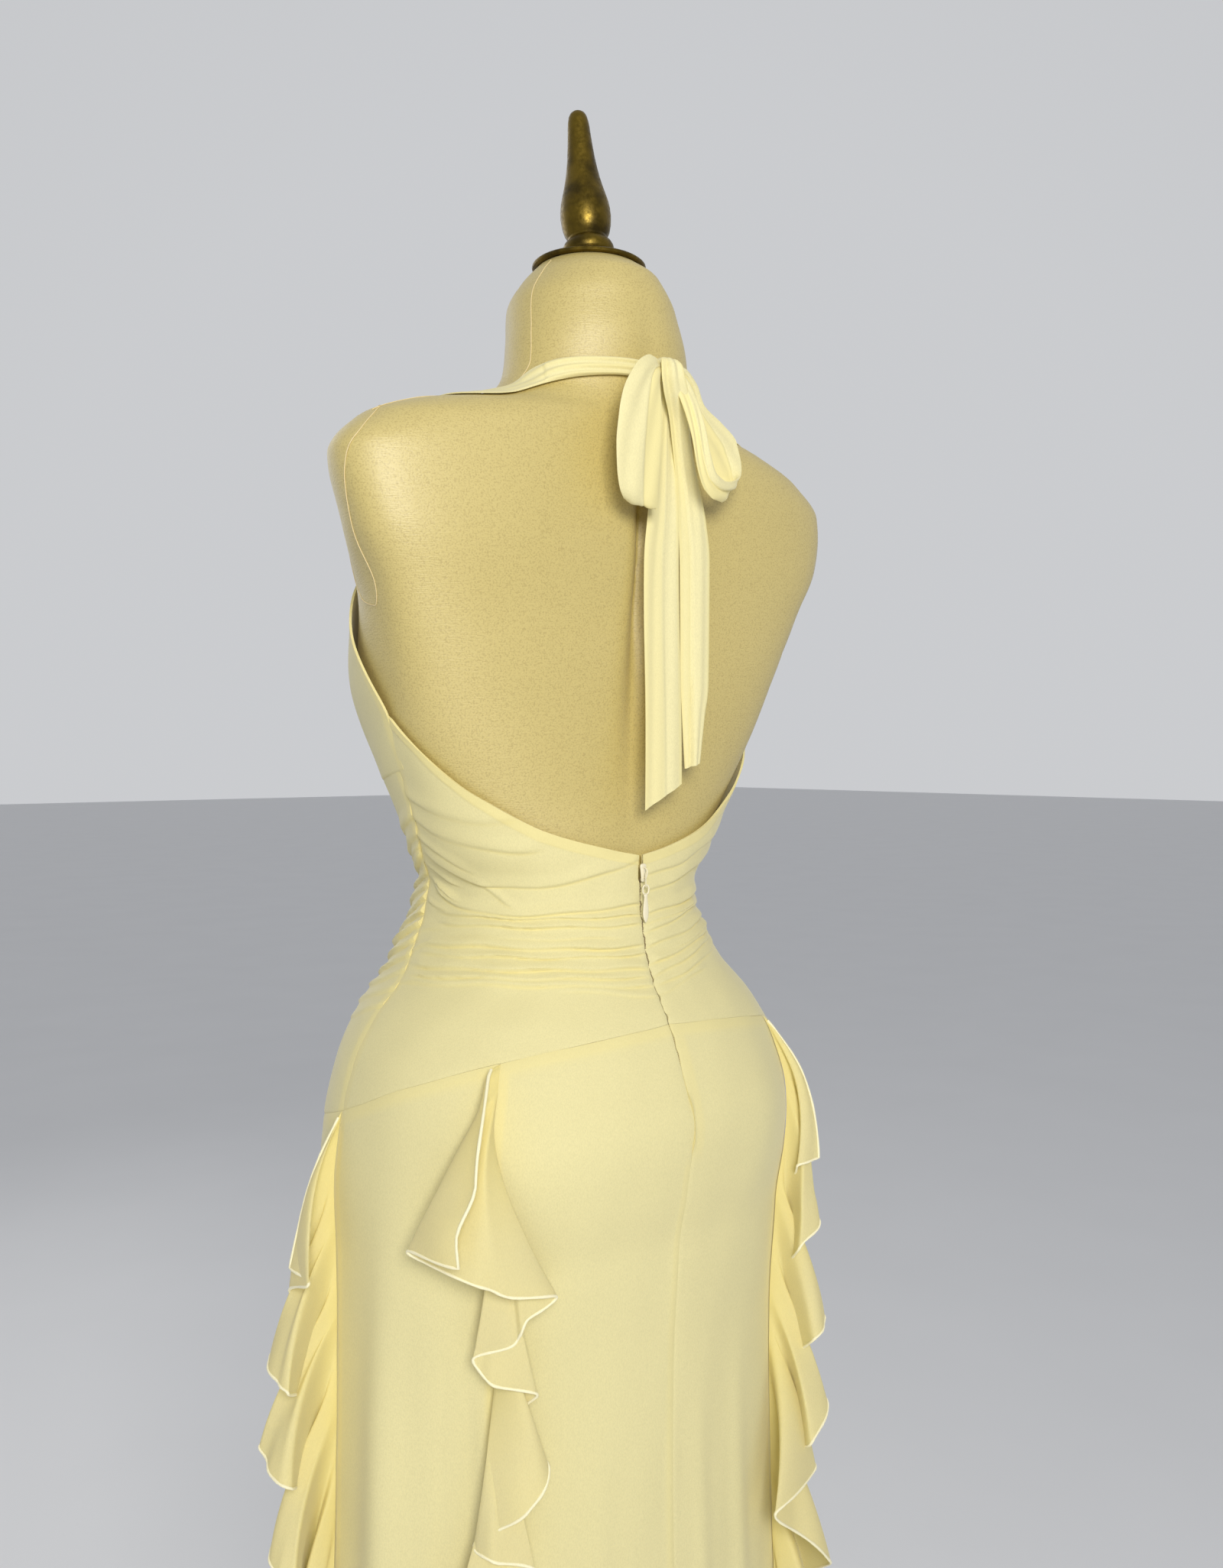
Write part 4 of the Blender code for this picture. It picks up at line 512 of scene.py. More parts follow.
# A cloth that fills less of its flat rectangle than this is taken as shorter
LEAST_AREA_SHARE = 0.32

# Back waist panels by side: name, creases, seed of their unevenness
WAIST_BACKS = {
    1.0: ("waist_back_left", LEFT_CREASES, 11),
    -1.0: ("waist_back_right", RIGHT_CREASES, 12),
}

# Skirt panels: name, first and last angle, side, columns
SKIRT_PANELS = (
    ("skirt_back_left_centre", 0.0, PRINCESS_ANGLE, 1.0, 56),
    ("skirt_back_left_side", PRINCESS_ANGLE, SIDE_ANGLE, 1.0, 44),
    ("skirt_back_right_centre", 0.0, PRINCESS_ANGLE, -1.0, 56),
    ("skirt_back_right_side", PRINCESS_ANGLE, SIDE_ANGLE, -1.0, 44),
    ("skirt_front", SIDE_ANGLE, 360.0 - SIDE_ANGLE, 1.0, 150),
)


def smooth_slopes(places, values):
    """Slopes of a smooth curve through the values that never overshoots them."""
    rises = np.diff(values) / np.diff(places)
    product = rises[:-1] * rises[1:]
    total = rises[:-1] + rises[1:]
    inner = np.where(product > 0.0, 2.0 * product / np.where(total == 0.0, 1.0, total), 0.0)
    return np.concatenate(([rises[0]], inner, [rises[-1]]))


class SmoothTable:
    """Smooth curves through the columns of a table, read by its first column."""

    def __init__(self, rows):
        table = np.array(sorted(rows))
        self.places = table[:, 0]
        self.values = table[:, 1:]
        columns = range(self.values.shape[1])
        self.slopes = np.stack([smooth_slopes(self.places, self.values[:, c]) for c in columns], 1)

    def at(self, place):
        """Array of the columns' values, on a last axis."""
        place = np.clip(np.asarray(place, float), self.places[0], self.places[-1])
        index = np.clip(np.searchsorted(self.places, place, side="right") - 1, 0, len(self.places) - 2)
        span = self.places[index + 1] - self.places[index]
        share = ((place - self.places[index]) / span)[..., None]
        span = span[..., None]
        value = (1.0 + 2.0 * share) * (1.0 - share) ** 2 * self.values[index]
        value = value + share * share * (3.0 - 2.0 * share) * self.values[index + 1]
        value = value + share * (1.0 - share) ** 2 * span * self.slopes[index]
        return value + share * share * (share - 1.0) * span * self.slopes[index + 1]


def row_curves(rows):
    """Smooth curves through a table's columns, read by the number of the row."""
    return SmoothTable([(float(number), *row) for number, row in enumerate(rows)])


SECTION_CURVES = SmoothTable(SECTIONS)
NECKLINE_CURVE = SmoothTable(BACK_NECKLINE)
BASQUE_CURVE = SmoothTable(BASQUE_SEAM)


def ease(share):
    """Smooth step from 0 to 1."""
    share = np.clip(share, 0.0, 1.0)
    return share * share * (3.0 - 2.0 * share)


def within(distance, width, fade):
    """1 up to a width from an edge, falling to 0 over the fade."""
    return 1.0 - ease((distance - width) / fade)


def unit(vectors):
    """The vectors of an array, each made one long."""
    length = np.linalg.norm(vectors, axis=-1, keepdims=True)
    return vectors / np.maximum(length, 1e-12)


def share_grid(steps, columns):
    """Shares along and across a strip, on a grid of points."""
    return np.meshgrid(np.linspace(0.0, 1.0, steps + 1), np.linspace(0.0, 1.0, columns + 1), indexing="ij")


def angle_between(first, second):
    """Difference of two angles round the figure, in degrees, never over 180."""
    return np.abs((first - second + 180.0) % 360.0 - 180.0)


def section_point(angle, height):
    """Points of the figure's level sections."""
    wide, widest_y, back, front, back_power, front_power = np.moveaxis(SECTION_CURVES.at(height), -1, 0)
    turn = np.radians(angle)
    side = np.sin(turn)
    rear = np.cos(turn)
    depth = np.where(rear > 0.0, back, front)
    power = np.where(rear > 0.0, back_power, front_power)
    reach = (np.abs(side / wide) ** power + np.abs(rear / depth) ** power) ** (-1.0 / power)
    around = angle_between(angle, 0.0)
    for centre, level, size, width, tall in FIGURE_RELIEF:
        reach = reach + size * np.exp(-((around - centre) / width) ** 2 - ((height - level) / tall) ** 2)
    return np.stack([reach * side, widest_y + reach * rear, height + 0.0 * reach], -1)


def skin(angle, height, out=0.0):
    """Points at a distance outside the form's surface, along its normal."""
    angle, height, out = np.broadcast_arrays(
        np.asarray(angle, float), np.asarray(height, float), np.asarray(out, float))
    along = section_point(angle + 0.5, height) - section_point(angle - 0.5, height)
    upward = section_point(angle, height + 0.002) - section_point(angle, height - 0.002)
    return section_point(angle, height) + unit(np.cross(upward, along)) * out[..., None]


def reach_at(angle, height):
    """Distance of the figure's surface from its middle axis."""
    point = section_point(np.asarray(angle, float), np.asarray(height, float))
    return np.hypot(point[..., 0], point[..., 1])


def skirt_fold(angle, height, folds=SKIRT_FOLDS, growth=FOLD_GROWTH):
    """Outward size of the skirt's soft folds at a place."""
    total = 0.0
    for centre, width, size, start in folds:
        across = angle_between(angle, centre) / width
        total = total + size * ease((start - height) / growth) * np.exp(-across * across)
    return total


def wave_noise(x, y, seed):
    """A smooth uneven field between about -1 and 1, the same each run."""
    total = 0.0
    maker = np.random.default_rng(seed)
    for _ in range(6):
        turn = maker.uniform(0.0, FULL_TURN)
        pace = maker.uniform(0.6, 1.6)
        phase = maker.uniform(0.0, FULL_TURN)
        total = total + np.sin(pace * (x * math.cos(turn) + y * math.sin(turn)) * FULL_TURN + phase)
    return total / 3.5


def crease_relief(creases, angle, height):
    """Outward size of lapped creases, sunk slightly along each crease's line, and the strength of that dark
    line, which is painted as shade.
    """
    total = np.zeros(np.broadcast(angle, height).shape)
    crease_shade_lines = np.zeros(total.shape)
    for first, last, h0, h1, h2, h3, size, width in creases:
        share = (angle - first) / (last - first)
        s = np.clip(share, 0.0, 1.0)
        t = 1.0 - s
        line = h0 * t * (1.0 - 1.5 * s) * (1.0 - 3.0 * s) + h1 * 9.0 * s * t * (1.0 - 1.5 * s)
        line = line + h2 * 4.5 * s * t * (3.0 * s - 1.0) + h3 * s * (1.0 - 1.5 * t) * (1.0 - 3.0 * t)
        line = line + CREASE_WANDER * np.sin(angle * 0.21 + first + h0 * 900.0)
        up = (height - line) / width
        profile = ease(up / CREASE_LIP) * ease((1.0 - up) / (1.0 - CREASE_LIP))
        from_start = share * (last - first) / CREASE_FADE
        shown = ease(from_start if first > 1.0 else 0.35 + from_start)
        shown = shown * ease((1.0 - share) * (last - first) / CREASE_FADE)
        shown = shown * (0.80 + 0.20 * np.sin(angle * 0.13 + h1 * 700.0))
        total = total + CREASE_STRENGTH * size * profile * shown
        # A thin dark line along each crease, sunk a little and painted as shade on the cloth
        thin = np.exp(-((height - line) / CREASE_LINE_WIDTH) ** 2)
        crease_shade_lines = np.maximum(crease_shade_lines, shown * thin * size / CREASE_FULL_SIZE)
    return total - CREASE_LINE_DEPTH * crease_shade_lines, crease_shade_lines


MATERIALS = {}


def node(tree, kind, **values):
    """One shader node with its settings."""
    made = tree.nodes.new(kind)
    for key, value in values.items():
        if key in made.inputs:
            made.inputs[key].default_value = value
        else:
            setattr(made, key, value)
    return made


def start_material(name, colour, roughness, metallic=0.0, **values):
    """A material's nodes and its principled shader; in the sockets' names _ stands for a space."""
    material = bpy.data.materials.new(name)
    material.use_nodes = True
    tree = material.node_tree
    shader = tree.nodes["Principled BSDF"]
    values.update(Base_Color=(*colour, 1.0), Roughness=roughness, Metallic=metallic)
    for key, value in values.items():
        shader.inputs[key.replace("_", " ")].default_value = value
    MATERIALS[name] = material
    return tree, shader


def noise(tree, scale, detail, stretch=(1.0, 1.0, 1.0)):
    """A noise texture's value, in object coordinates stretched on each axis."""
    coordinates = node(tree, "ShaderNodeTexCoord")
    mapping = node(tree, "ShaderNodeMapping", Scale=stretch)
    made = node(tree, "ShaderNodeTexNoise", Scale=scale, Detail=detail)
    tree.links.new(coordinates.outputs["Object"], mapping.inputs["Vector"])
    tree.links.new(mapping.outputs["Vector"], made.inputs["Vector"])
    return made.outputs["Fac"]


def ramp(tree, value, stops):
    """A colour ramp read by a value."""
    made = node(tree, "ShaderNodeValToRGB")
    for element, (place, colour) in zip(made.color_ramp.elements, stops):
        element.position = place
        element.color = (*colour, 1.0)
    tree.links.new(value, made.inputs["Fac"])
    return made.outputs["Color"]


def mix(tree, amount, first, second, blend="MIX"):
    """A colour between two, or multiplied in part, by a linked or plain amount."""
    made = node(tree, "ShaderNodeMix", data_type="RGBA", blend_type=blend)
    for socket, value in ((made.inputs[0], amount), (made.inputs[6], first), (made.inputs[7], second)):
        if isinstance(value, bpy.types.NodeSocket):
            tree.links.new(value, socket)
        else:
            socket.default_value = value if isinstance(value, float) else (*value, 1.0)
    return made.outputs[2]


def paint(tree, shader, colour):
    """Leads a colour to a shader."""
    tree.links.new(colour, shader.inputs["Base Color"])


def bump(tree, shader, heights):
    """Bumps on a shader from (value, strength, distance) rows, one on another."""
    before = None
    for value, strength, distance in heights:
        made = node(tree, "ShaderNodeBump", Strength=strength, Distance=distance)
        tree.links.new(value, made.inputs["Height"])
        if before is not None:
            tree.links.new(before, made.inputs["Normal"])
        before = made.outputs["Normal"]
    tree.links.new(before, shader.inputs["Normal"])


def cloth_material(name, colour, doubled_and_shaded_colour, glow, translucency):
    """Sheer stretch mesh: doubled cloth shows deeper, the same deeper colour is painted as shade along the
    waist's creases, and light comes through it.
    """
    tree, shader = start_material(
        name, colour, 0.78, Sheen_Weight=0.25, Sheen_Roughness=0.45, Specular_IOR_Level=0.25)
    base = mix(tree, noise(tree, 9.0, 3.0, (1.0, 1.0, 0.6)), colour, [0.93 * c for c in colour])
    fine = noise(tree, 1500.0, 1.0, (1.0, 1.0, 0.45))
    speckle = ramp(tree, fine, ((0.30, (0.90, 0.90, 0.88)), (0.65, (1.0, 1.0, 1.0))))
    weave = mix(tree, 0.8, base, speckle, "MULTIPLY")
    # Doubled cloth and the painted shade along the waist's creases both take the deeper colour, read from a
    # point attribute
    layers_and_shade = node(tree, "ShaderNodeAttribute", attribute_name="layers_and_shade")
    paint(tree, shader, mix(tree, layers_and_shade.outputs["Fac"], weave, doubled_and_shaded_colour))
    ribs = noise(tree, 700.0, 2.0, (1.0, 1.0, 2.6))
    bump(tree, shader, ((ribs, 0.25, 0.0004), (fine, 0.15, 0.0003)))
    through = node(tree, "ShaderNodeBsdfTranslucent", Color=(*glow, 1.0))
    blend = node(tree, "ShaderNodeMixShader")
    blend.inputs[0].default_value = translucency
    tree.links.new(shader.outputs["BSDF"], blend.inputs[1])
    tree.links.new(through.outputs["BSDF"], blend.inputs[2])
    tree.links.new(blend.outputs["Shader"], tree.nodes["Material Output"].inputs["Surface"])


def make_materials():
    """Every finish of the dress, the form and the stand."""
    for finish in CLOTH_FINISHES:
        cloth_material(*finish)

    for name, colour, roughness, metallic, extra, mingling, first, second, bumps in TONED_FINISHES:
        tree, shader = start_material(name, colour, roughness, metallic, **extra)
        value = noise(tree, *mingling)
        paint(tree, shader, mix(tree, value, first, second))
        if bumps:
            bump(tree, shader, ((value, *bumps),))

    tree, shader = start_material(
        "form_jersey", (0.56, 0.44, 0.20), 0.52, Specular_IOR_Level=1.0, Coat_Weight=0.45,
        Coat_Roughness=0.62, Sheen_Weight=0.06, Sheen_Roughness=0.50, Sheen_Tint=(1.0, 0.93, 0.72, 1.0))
    rows = noise(tree, 520.0, 2.0, (0.35, 0.35, 2.6))
    grain = noise(tree, 900.0, 2.0)
    base = mix(tree, noise(tree, 7.0, 2.0), (0.620, 0.505, 0.185), (0.525, 0.415, 0.125))
    spotted = ramp(tree, grain, ((0.33, (0.74, 0.70, 0.62)), (0.52, (1.0, 1.0, 1.0))))
    paint(tree, shader, mix(tree, 0.75, base, spotted, "MULTIPLY"))
    bump(tree, shader, ((rows, 0.45, 0.0006), (grain, 0.35, 0.0004)))

    tree, shader = start_material("antique_gold", (0.30, 0.20, 0.05), 0.36, 0.75)
    pits = noise(tree, 420.0, 3.0)
    worn = noise(tree, 60.0, 4.0)
    paint(tree, shader, ramp(tree, worn, ((0.30, (0.045, 0.029, 0.002)), (0.62, (0.17, 0.112, 0.010)))))
    rough = ramp(tree, pits, ((0.35, (0.28, 0.28, 0.28)), (0.70, (0.52, 0.52, 0.52))))
    tree.links.new(rough, shader.inputs["Roughness"])
    bump(tree, shader, ((pits, 0.25, 0.0004),))


def mesh_of(bm, name):
    """A mesh from one that is being edited, which is freed."""
    mesh = bpy.data.meshes.new(name)
    bm.to_mesh(mesh)
    bm.free()
    return mesh


def place_mesh(name, mesh, material, sharp=None):
    """An object from a mesh with one finish, smooth but for its sharp edges."""
    if sharp is not None:
        mesh.shade_smooth()
        mesh.set_sharp_from_angle(angle=math.radians(sharp))
    mesh.materials.append(MATERIALS[material])
    piece = bpy.data.objects.new(name, mesh)
    bpy.context.scene.collection.objects.link(piece)
    return piece


def add_piece(name, points, faces, material, sharp=50.0):
    """One object from points and faces."""
    mesh = bpy.data.meshes.new(name)
    mesh.from_pydata([tuple(p) for p in points], [], [tuple(f) for f in faces])
    mesh.validate()
    return place_mesh(name, mesh, material, sharp)


def ring_piece(name, rings, material, sharp=50.0, ends=None):
    """A closed piece through rings of points, with flat ends or a middle point over the last and first."""
    count, sides = rings.shape[:2]
    index = np.arange(count * sides).reshape(count, sides)
    after = np.roll(index, -1, axis=1)
    faces = np.stack([index[:-1], after[:-1], after[1:], index[1:]], -1).reshape(-1, 4).tolist()
    points = rings.reshape(-1, 3)
    if ends is None:
        faces += [index[0][::-1].tolist(), index[-1].tolist()]
    else:
        faces += [(a, len(points), b) for a, b in zip(after[-1].tolist(), index[-1].tolist())]
        faces += [(b, len(points) + 1, a) for a, b in zip(after[0].tolist(), index[0].tolist())]
        points = np.concatenate([points, ends])
    piece = add_piece(name, points, faces, material, sharp)
    bm = bmesh.new()
    bm.from_mesh(piece.data)
    bmesh.ops.recalc_face_normals(bm, faces=bm.faces)
    bm.to_mesh(piece.data)
    bm.free()
    return piece


def wall(name, front, back, material, layers_and_shade):
    """A closed wall between a front and a back grid of points."""
    rows, columns = front.shape[:2]
    count = rows * columns
    index = np.arange(count).reshape(rows, columns)
    a, b, c, d = index[:-1, :-1], index[:-1, 1:], index[1:, 1:], index[1:, :-1]
    outside = np.stack([a, b, c, d], -1).reshape(-1, 4)
    inside = np.stack([a, d, c, b], -1).reshape(-1, 4) + count
    edges = ((index[0, 1:], index[0, :-1]), (index[-1, :-1], index[-1, 1:]),
             (index[1:, -1], index[:-1, -1]), (index[:-1, 0], index[1:, 0]))
    rims = [np.stack([first, second, second + count, first + count], -1) for first, second in edges]
    faces = np.concatenate([outside, inside, *rims])
    points = np.concatenate([front.reshape(-1, 3), back.reshape(-1, 3)])
    corners = points[faces]
    turned_to = np.cross(corners[:, 1] - corners[:, 0], corners[:, 2] - corners[:, 0])
    turned_to = turned_to + np.cross(corners[:, 2] - corners[:, 0], corners[:, 3] - corners[:, 0])
    if np.sum(turned_to * (corners[:, 0] - points.mean(0))) < 0.0:
        faces = faces[:, ::-1]
    piece = add_piece(name, points, faces, material)
    # Each point's share of the deeper colour: doubled cloth, and painted shade along creases
    attribute = piece.data.attributes.new("layers_and_shade", "FLOAT", "POINT")
    attribute.data.foreach_set("value", np.tile(np.asarray(layers_and_shade, np.float32).ravel(), 2))
    return piece


def grid_normals(grid):
    """Normals of a grid of points."""
    return unit(np.cross(np.gradient(grid, axis=0), np.gradient(grid, axis=1)))


def grid_area(grid):
    """Area of a grid's surface."""
    p, q, r, s = grid[:-1, :-1], grid[:-1, 1:], grid[1:, 1:], grid[1:, :-1]
    first = np.linalg.norm(np.cross(q - p, r - p), axis=-1).sum()
    return 0.5 * (first + np.linalg.norm(np.cross(r - p, s - p), axis=-1).sum())


def declare_cloth(grid):
    """Works out the width, length and area of a cloth piece's flat cut from the lengths along its surface;
    they are not used.
    """
    lengths = np.linalg.norm(np.diff(grid, axis=0), axis=-1).sum(0)
    widths = np.linalg.norm(np.diff(grid, axis=1), axis=-1).sum(1)
    area = float(grid_area(grid))
    width, length = float(widths.max()), float(lengths.max())
    if area / (width * length) < LEAST_AREA_SHARE:
        length = area / (LEAST_AREA_SHARE * width)
    area = min(area, width * length)


def ride(piece, nodes, body=MAIN_BODY):
    """Sets a piece on its body, in place of the part's nodes."""
    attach(piece, body)
    if nodes:
        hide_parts(*nodes)


def lay_panel(name, front, back, layers_and_shade, finish="mesh_cloth"):
    """A panel of the dress that lies over the form, between its outer and inner faces."""
    piece = wall(name + "_cloth", front, back, finish, layers_and_shade)
    ride(piece, [name])
    declare_cloth(front)


def tube(name, path, radius, material, sides=8):
    """A capped tube along a path of points, of one radius or a radius at each point."""
    path = np.asarray(path, float)
    radius = np.broadcast_to(np.asarray(radius, float), (len(path),))
    onward = unit(np.gradient(path, axis=0))
    lifted = np.zeros_like(path)
    guess = np.array((0.0, 0.0, 1.0)) if abs(onward[0][2]) < 0.9 else np.array((1.0, 0.0, 0.0))
    for i, way in enumerate(onward):
        guess = guess - way * np.dot(guess, way)
        guess = guess / np.linalg.norm(guess)
        lifted[i] = guess
    aside = np.cross(onward, lifted)
    turns = (np.arange(sides) * FULL_TURN / sides)[None, :, None]
    rings = path[:, None] + radius[:, None, None] * (
        np.cos(turns) * lifted[:, None] + np.sin(turns) * aside[:, None])
    return ring_piece(name, rings, material)


def turned(name, profile, material, segments, place, node_name):
    """A closed round piece from a profile of (radius, height) from axis to axis, set by a matrix."""
    turns = np.arange(segments) * FULL_TURN / segments
    rings = [[place @ Vector((radius * math.cos(t), radius * math.sin(t), height)) for t in turns]
             for radius, height in profile[1:-1]]
    ends = [place @ Vector((0.0, 0.0, profile[i][1])) for i in (-1, 0)]
    piece = ring_piece(name, np.array(rings), material, 35.0, np.array(ends))
    ride(piece, [node_name], MAIN_BODY)


def make_form():
    """The padded torso with its neck, in a knit cover, and the seams of the cover."""
    heights = np.concatenate([np.linspace(FORM_BOTTOM, 1.33, 150), np.linspace(1.333, FORM_TOP, 70)])
    around, level = np.meshgrid(np.arange(0.0, 360.0, 2.5), heights)
    inset = FORM_INSET * ease((FORM_INSET_TOP - level) / FORM_INSET_FADE)
    piece = ring_piece("form_cover", skin(around, level, -inset), "form_jersey")
    ride(piece, ["form_torso"], MAIN_BODY)
    place = np.linspace(0.0, len(CAP_SEAM_ROWS) - 1.0, 160)
    cap_angle, cap_height = row_curves(CAP_SEAM_ROWS).at(place).T
    share = np.linspace(0.0, 1.0, 80)
    shares, angles, levels = zip(*SHOULDER_SEAM_ROWS)
    shoulder_angle = np.interp(share, shares, angles)
    shoulder_height = np.interp(share, shares, levels)
    for side, word in ((1.0, "left"), (-1.0, "right")):
        seams = (("form_cap_seam_", cap_angle, cap_height),
                 ("form_shoulder_seam_", shoulder_angle, shoulder_height))
        for name, angle, height in seams:
            path = skin(side * angle, height, SEAM_THREAD_OUT)
            ride(tube(name + word, path, SEAM_THREAD_RADIUS, "seam_thread", 6), [], MAIN_BODY)


def make_stand():
    """The neck plate and finial above, the pole and round base below."""
    foot = FORM_TOP + SEAM_GAP
    place = Matrix.Translation((0.0, NECK_AXIS_Y, foot))
    turned("neck_plate", DISC_PROFILE, "antique_gold", 64, place, "neck_disc")
    place = Matrix.Translation((0.0, NECK_AXIS_Y, foot + DISC_PROFILE[-1][1] + FINIAL_RISE))
    place = place @ Matrix.Rotation(math.radians(FINIAL_LEAN), 4, "X")
    turned("finial", FINIAL_PROFILE, "antique_gold", 48, place, "neck_finial")
    narrow = POLE_RADIUS - POLE_BEVEL
    pole = ((0.0, POLE_BOTTOM), (narrow, POLE_BOTTOM), (POLE_RADIUS, POLE_BOTTOM + POLE_BEVEL),
            (POLE_RADIUS, POLE_TOP - POLE_BEVEL), (narrow, POLE_TOP), (0.0, POLE_TOP))
    turned("pole", pole, "stand_metal", 48, Matrix.Identity(4), "stand_pole")
    turned("base", BASE_PROFILE, "stand_metal", 96, Matrix.Identity(4), "stand_base")


def edge_turn(distance, roll):
    """Inward shift of a panel's outer face where it turns under at an edge."""
    width, depth = roll
    return -depth * (1.0 - ease(distance / width))


def zip_half_opening(height):
    """Half of the space between the back panels, from closed below the zip to wide above it."""
    shut = 0.5 * CLOTH_GAP + CHAIN_OPENING * ease((height - ZIP_BOTTOM) / 0.010)
    shut = shut + V_OPENING * ease((height - SLIDER_HEIGHT + V_START) / 0.0050)
    return shut + V_OPENING * ease((height - SLIDER_HEIGHT) / 0.010)


def zip_wobble(height):
    """Sideways shift of the zip's line, where the ruched cloth pulls on it."""
    share = ease((height - ZIP_BOTTOM) / 0.02) * ease((SLIDER_HEIGHT - 0.006 - height) / 0.01)
    pulled = share * (0.00045 * np.sin(height * 520.0) + 0.00025 * np.sin(height * 1130.0 + 1.0))
    return pulled - KINK_SIZE * np.exp(-((height - KINK_HEIGHT) / KINK_SPREAD) ** 2)


def zip_edge(height, side, reach):
    """Angle of a panel's edge along the zip, before its side is given to it."""
    return np.degrees((zip_half_opening(height) + side * zip_wobble(height)) / reach)


def side_seam(height):
    """Angle of the waist's side seam, which bows to the front at the narrowest level."""
    spread = np.where(height > SIDE_BOW_HEIGHT, SIDE_BOW_ABOVE, SIDE_BOW_BELOW)
    return SIDE_ANGLE + SIDE_BOW * np.exp(-((height - SIDE_BOW_HEIGHT) / spread) ** 2)


def make_waist_back(side):
    """One back waist panel: ruched at the waist, smooth over the hip."""
    name, creases, seed = WAIST_BACKS[side]
    share, across = share_grid(*WAIST_GRID)
    around = across * SIDE_ANGLE
    top = NECKLINE_CURVE.at(around)[..., 0]
    foot = BASQUE_CURVE.at(around)[..., 0] + 0.5 * CLOTH_GAP
    height = top + (foot - top) * share
    seam = side_seam(height)
    plain = around * seam / SIDE_ANGLE
    reach = reach_at(side * plain, height)
    plain[:, 0] = zip_edge(height[:, 0], side, reach[:, 0])
    plain[:, -1] -= np.degrees(0.5 * CLOTH_GAP / reach[:, -1])
    angle = side * plain
    from_zip = np.radians(plain) * reach
    from_side = np.radians(seam - plain) * reach
    from_top = top - height
    ruched, crease_shade_lines = crease_relief(creases, plain, height)
    lip = ease((from_zip - 0.0020) / 0.0050) if side < 0 else ease((from_zip + 0.0010) / 0.0040)
    low = edge_turn(from_zip, ZIP_ROLL) + edge_turn(from_side, SIDE_ROLL)
    low = low + edge_turn(height - foot, LEVEL_ROLL)
    hem = within(from_top, WAIST_HEM, STRIP_FADE)
    allowance = within(from_side, WAIST_ALLOWANCE, STRIP_FADE)
    soft = WAIST_UNEVEN * wave_noise(angle / 14.0, height / 0.03, seed)
    out = OUTER_FACE + ruched * lip + low + NECK_HEM_RISE * hem + soft * ease(from_zip / 0.006)
    # Deeper colour where the cloth is doubled at the hem and the seam allowance, and painted shade along each
    # crease's line
    layers_and_shade = np.clip(0.55 * hem + 0.5 * allowance + 0.9 * crease_shade_lines, 0.0, 1.0)
    lay_panel(name, skin(angle, height, out), skin(angle, height, FORM_CLEARANCE), layers_and_shade)


def make_waist_front():
    """The front waist panel: ruched from side seam to side seam."""
    share, across = share_grid(*FRONT_GRID)
    around = SIDE_ANGLE + (360.0 - 2.0 * SIDE_ANGLE) * across
    off = angle_between(around, 180.0) / (180.0 - SIDE_ANGLE)
    top = HALTER_ROWS[0][3] + (HALTER_ROWS[0][1] - HALTER_ROWS[0][3]) * off - 0.5 * SEAM_GAP
    foot = BASQUE_CURVE.at(angle_between(around, 0.0))[..., 0] + 0.5 * CLOTH_GAP
    height = top + (foot - top) * share
    seam = side_seam(height)
    angle = 180.0 + (around - 180.0) * (180.0 - seam) / (180.0 - SIDE_ANGLE)
    reach = reach_at(angle, height)
    gap = np.degrees(0.5 * CLOTH_GAP / reach)
    angle[:, 0] += gap[:, 0]
    angle[:, -1] -= gap[:, -1]
    from_side = np.radians(180.0 - seam - np.abs(angle - 180.0)) * reach
    ruched, crease_shade_lines = crease_relief(FRONT_CREASES, angle, height)
    low = edge_turn(from_side, SIDE_ROLL) + edge_turn(height - foot, LEVEL_ROLL)
    low = low + edge_turn(top - height, LEVEL_ROLL)
    soft = WAIST_UNEVEN * wave_noise(angle / 14.0, height / 0.03, 13)
    front = skin(angle, height, OUTER_FACE + ruched + low + soft)
    # Deeper colour on the side seam's allowance, where the cloth is doubled, and painted shade along each
    # crease's line
    layers_and_shade = np.clip(0.9 * crease_shade_lines + 0.4 * within(from_side, WAIST_ALLOWANCE, STRIP_FADE), 0.0, 1.0)
    lay_panel("waist_front", front, skin(angle, height, FORM_CLEARANCE), layers_and_shade)


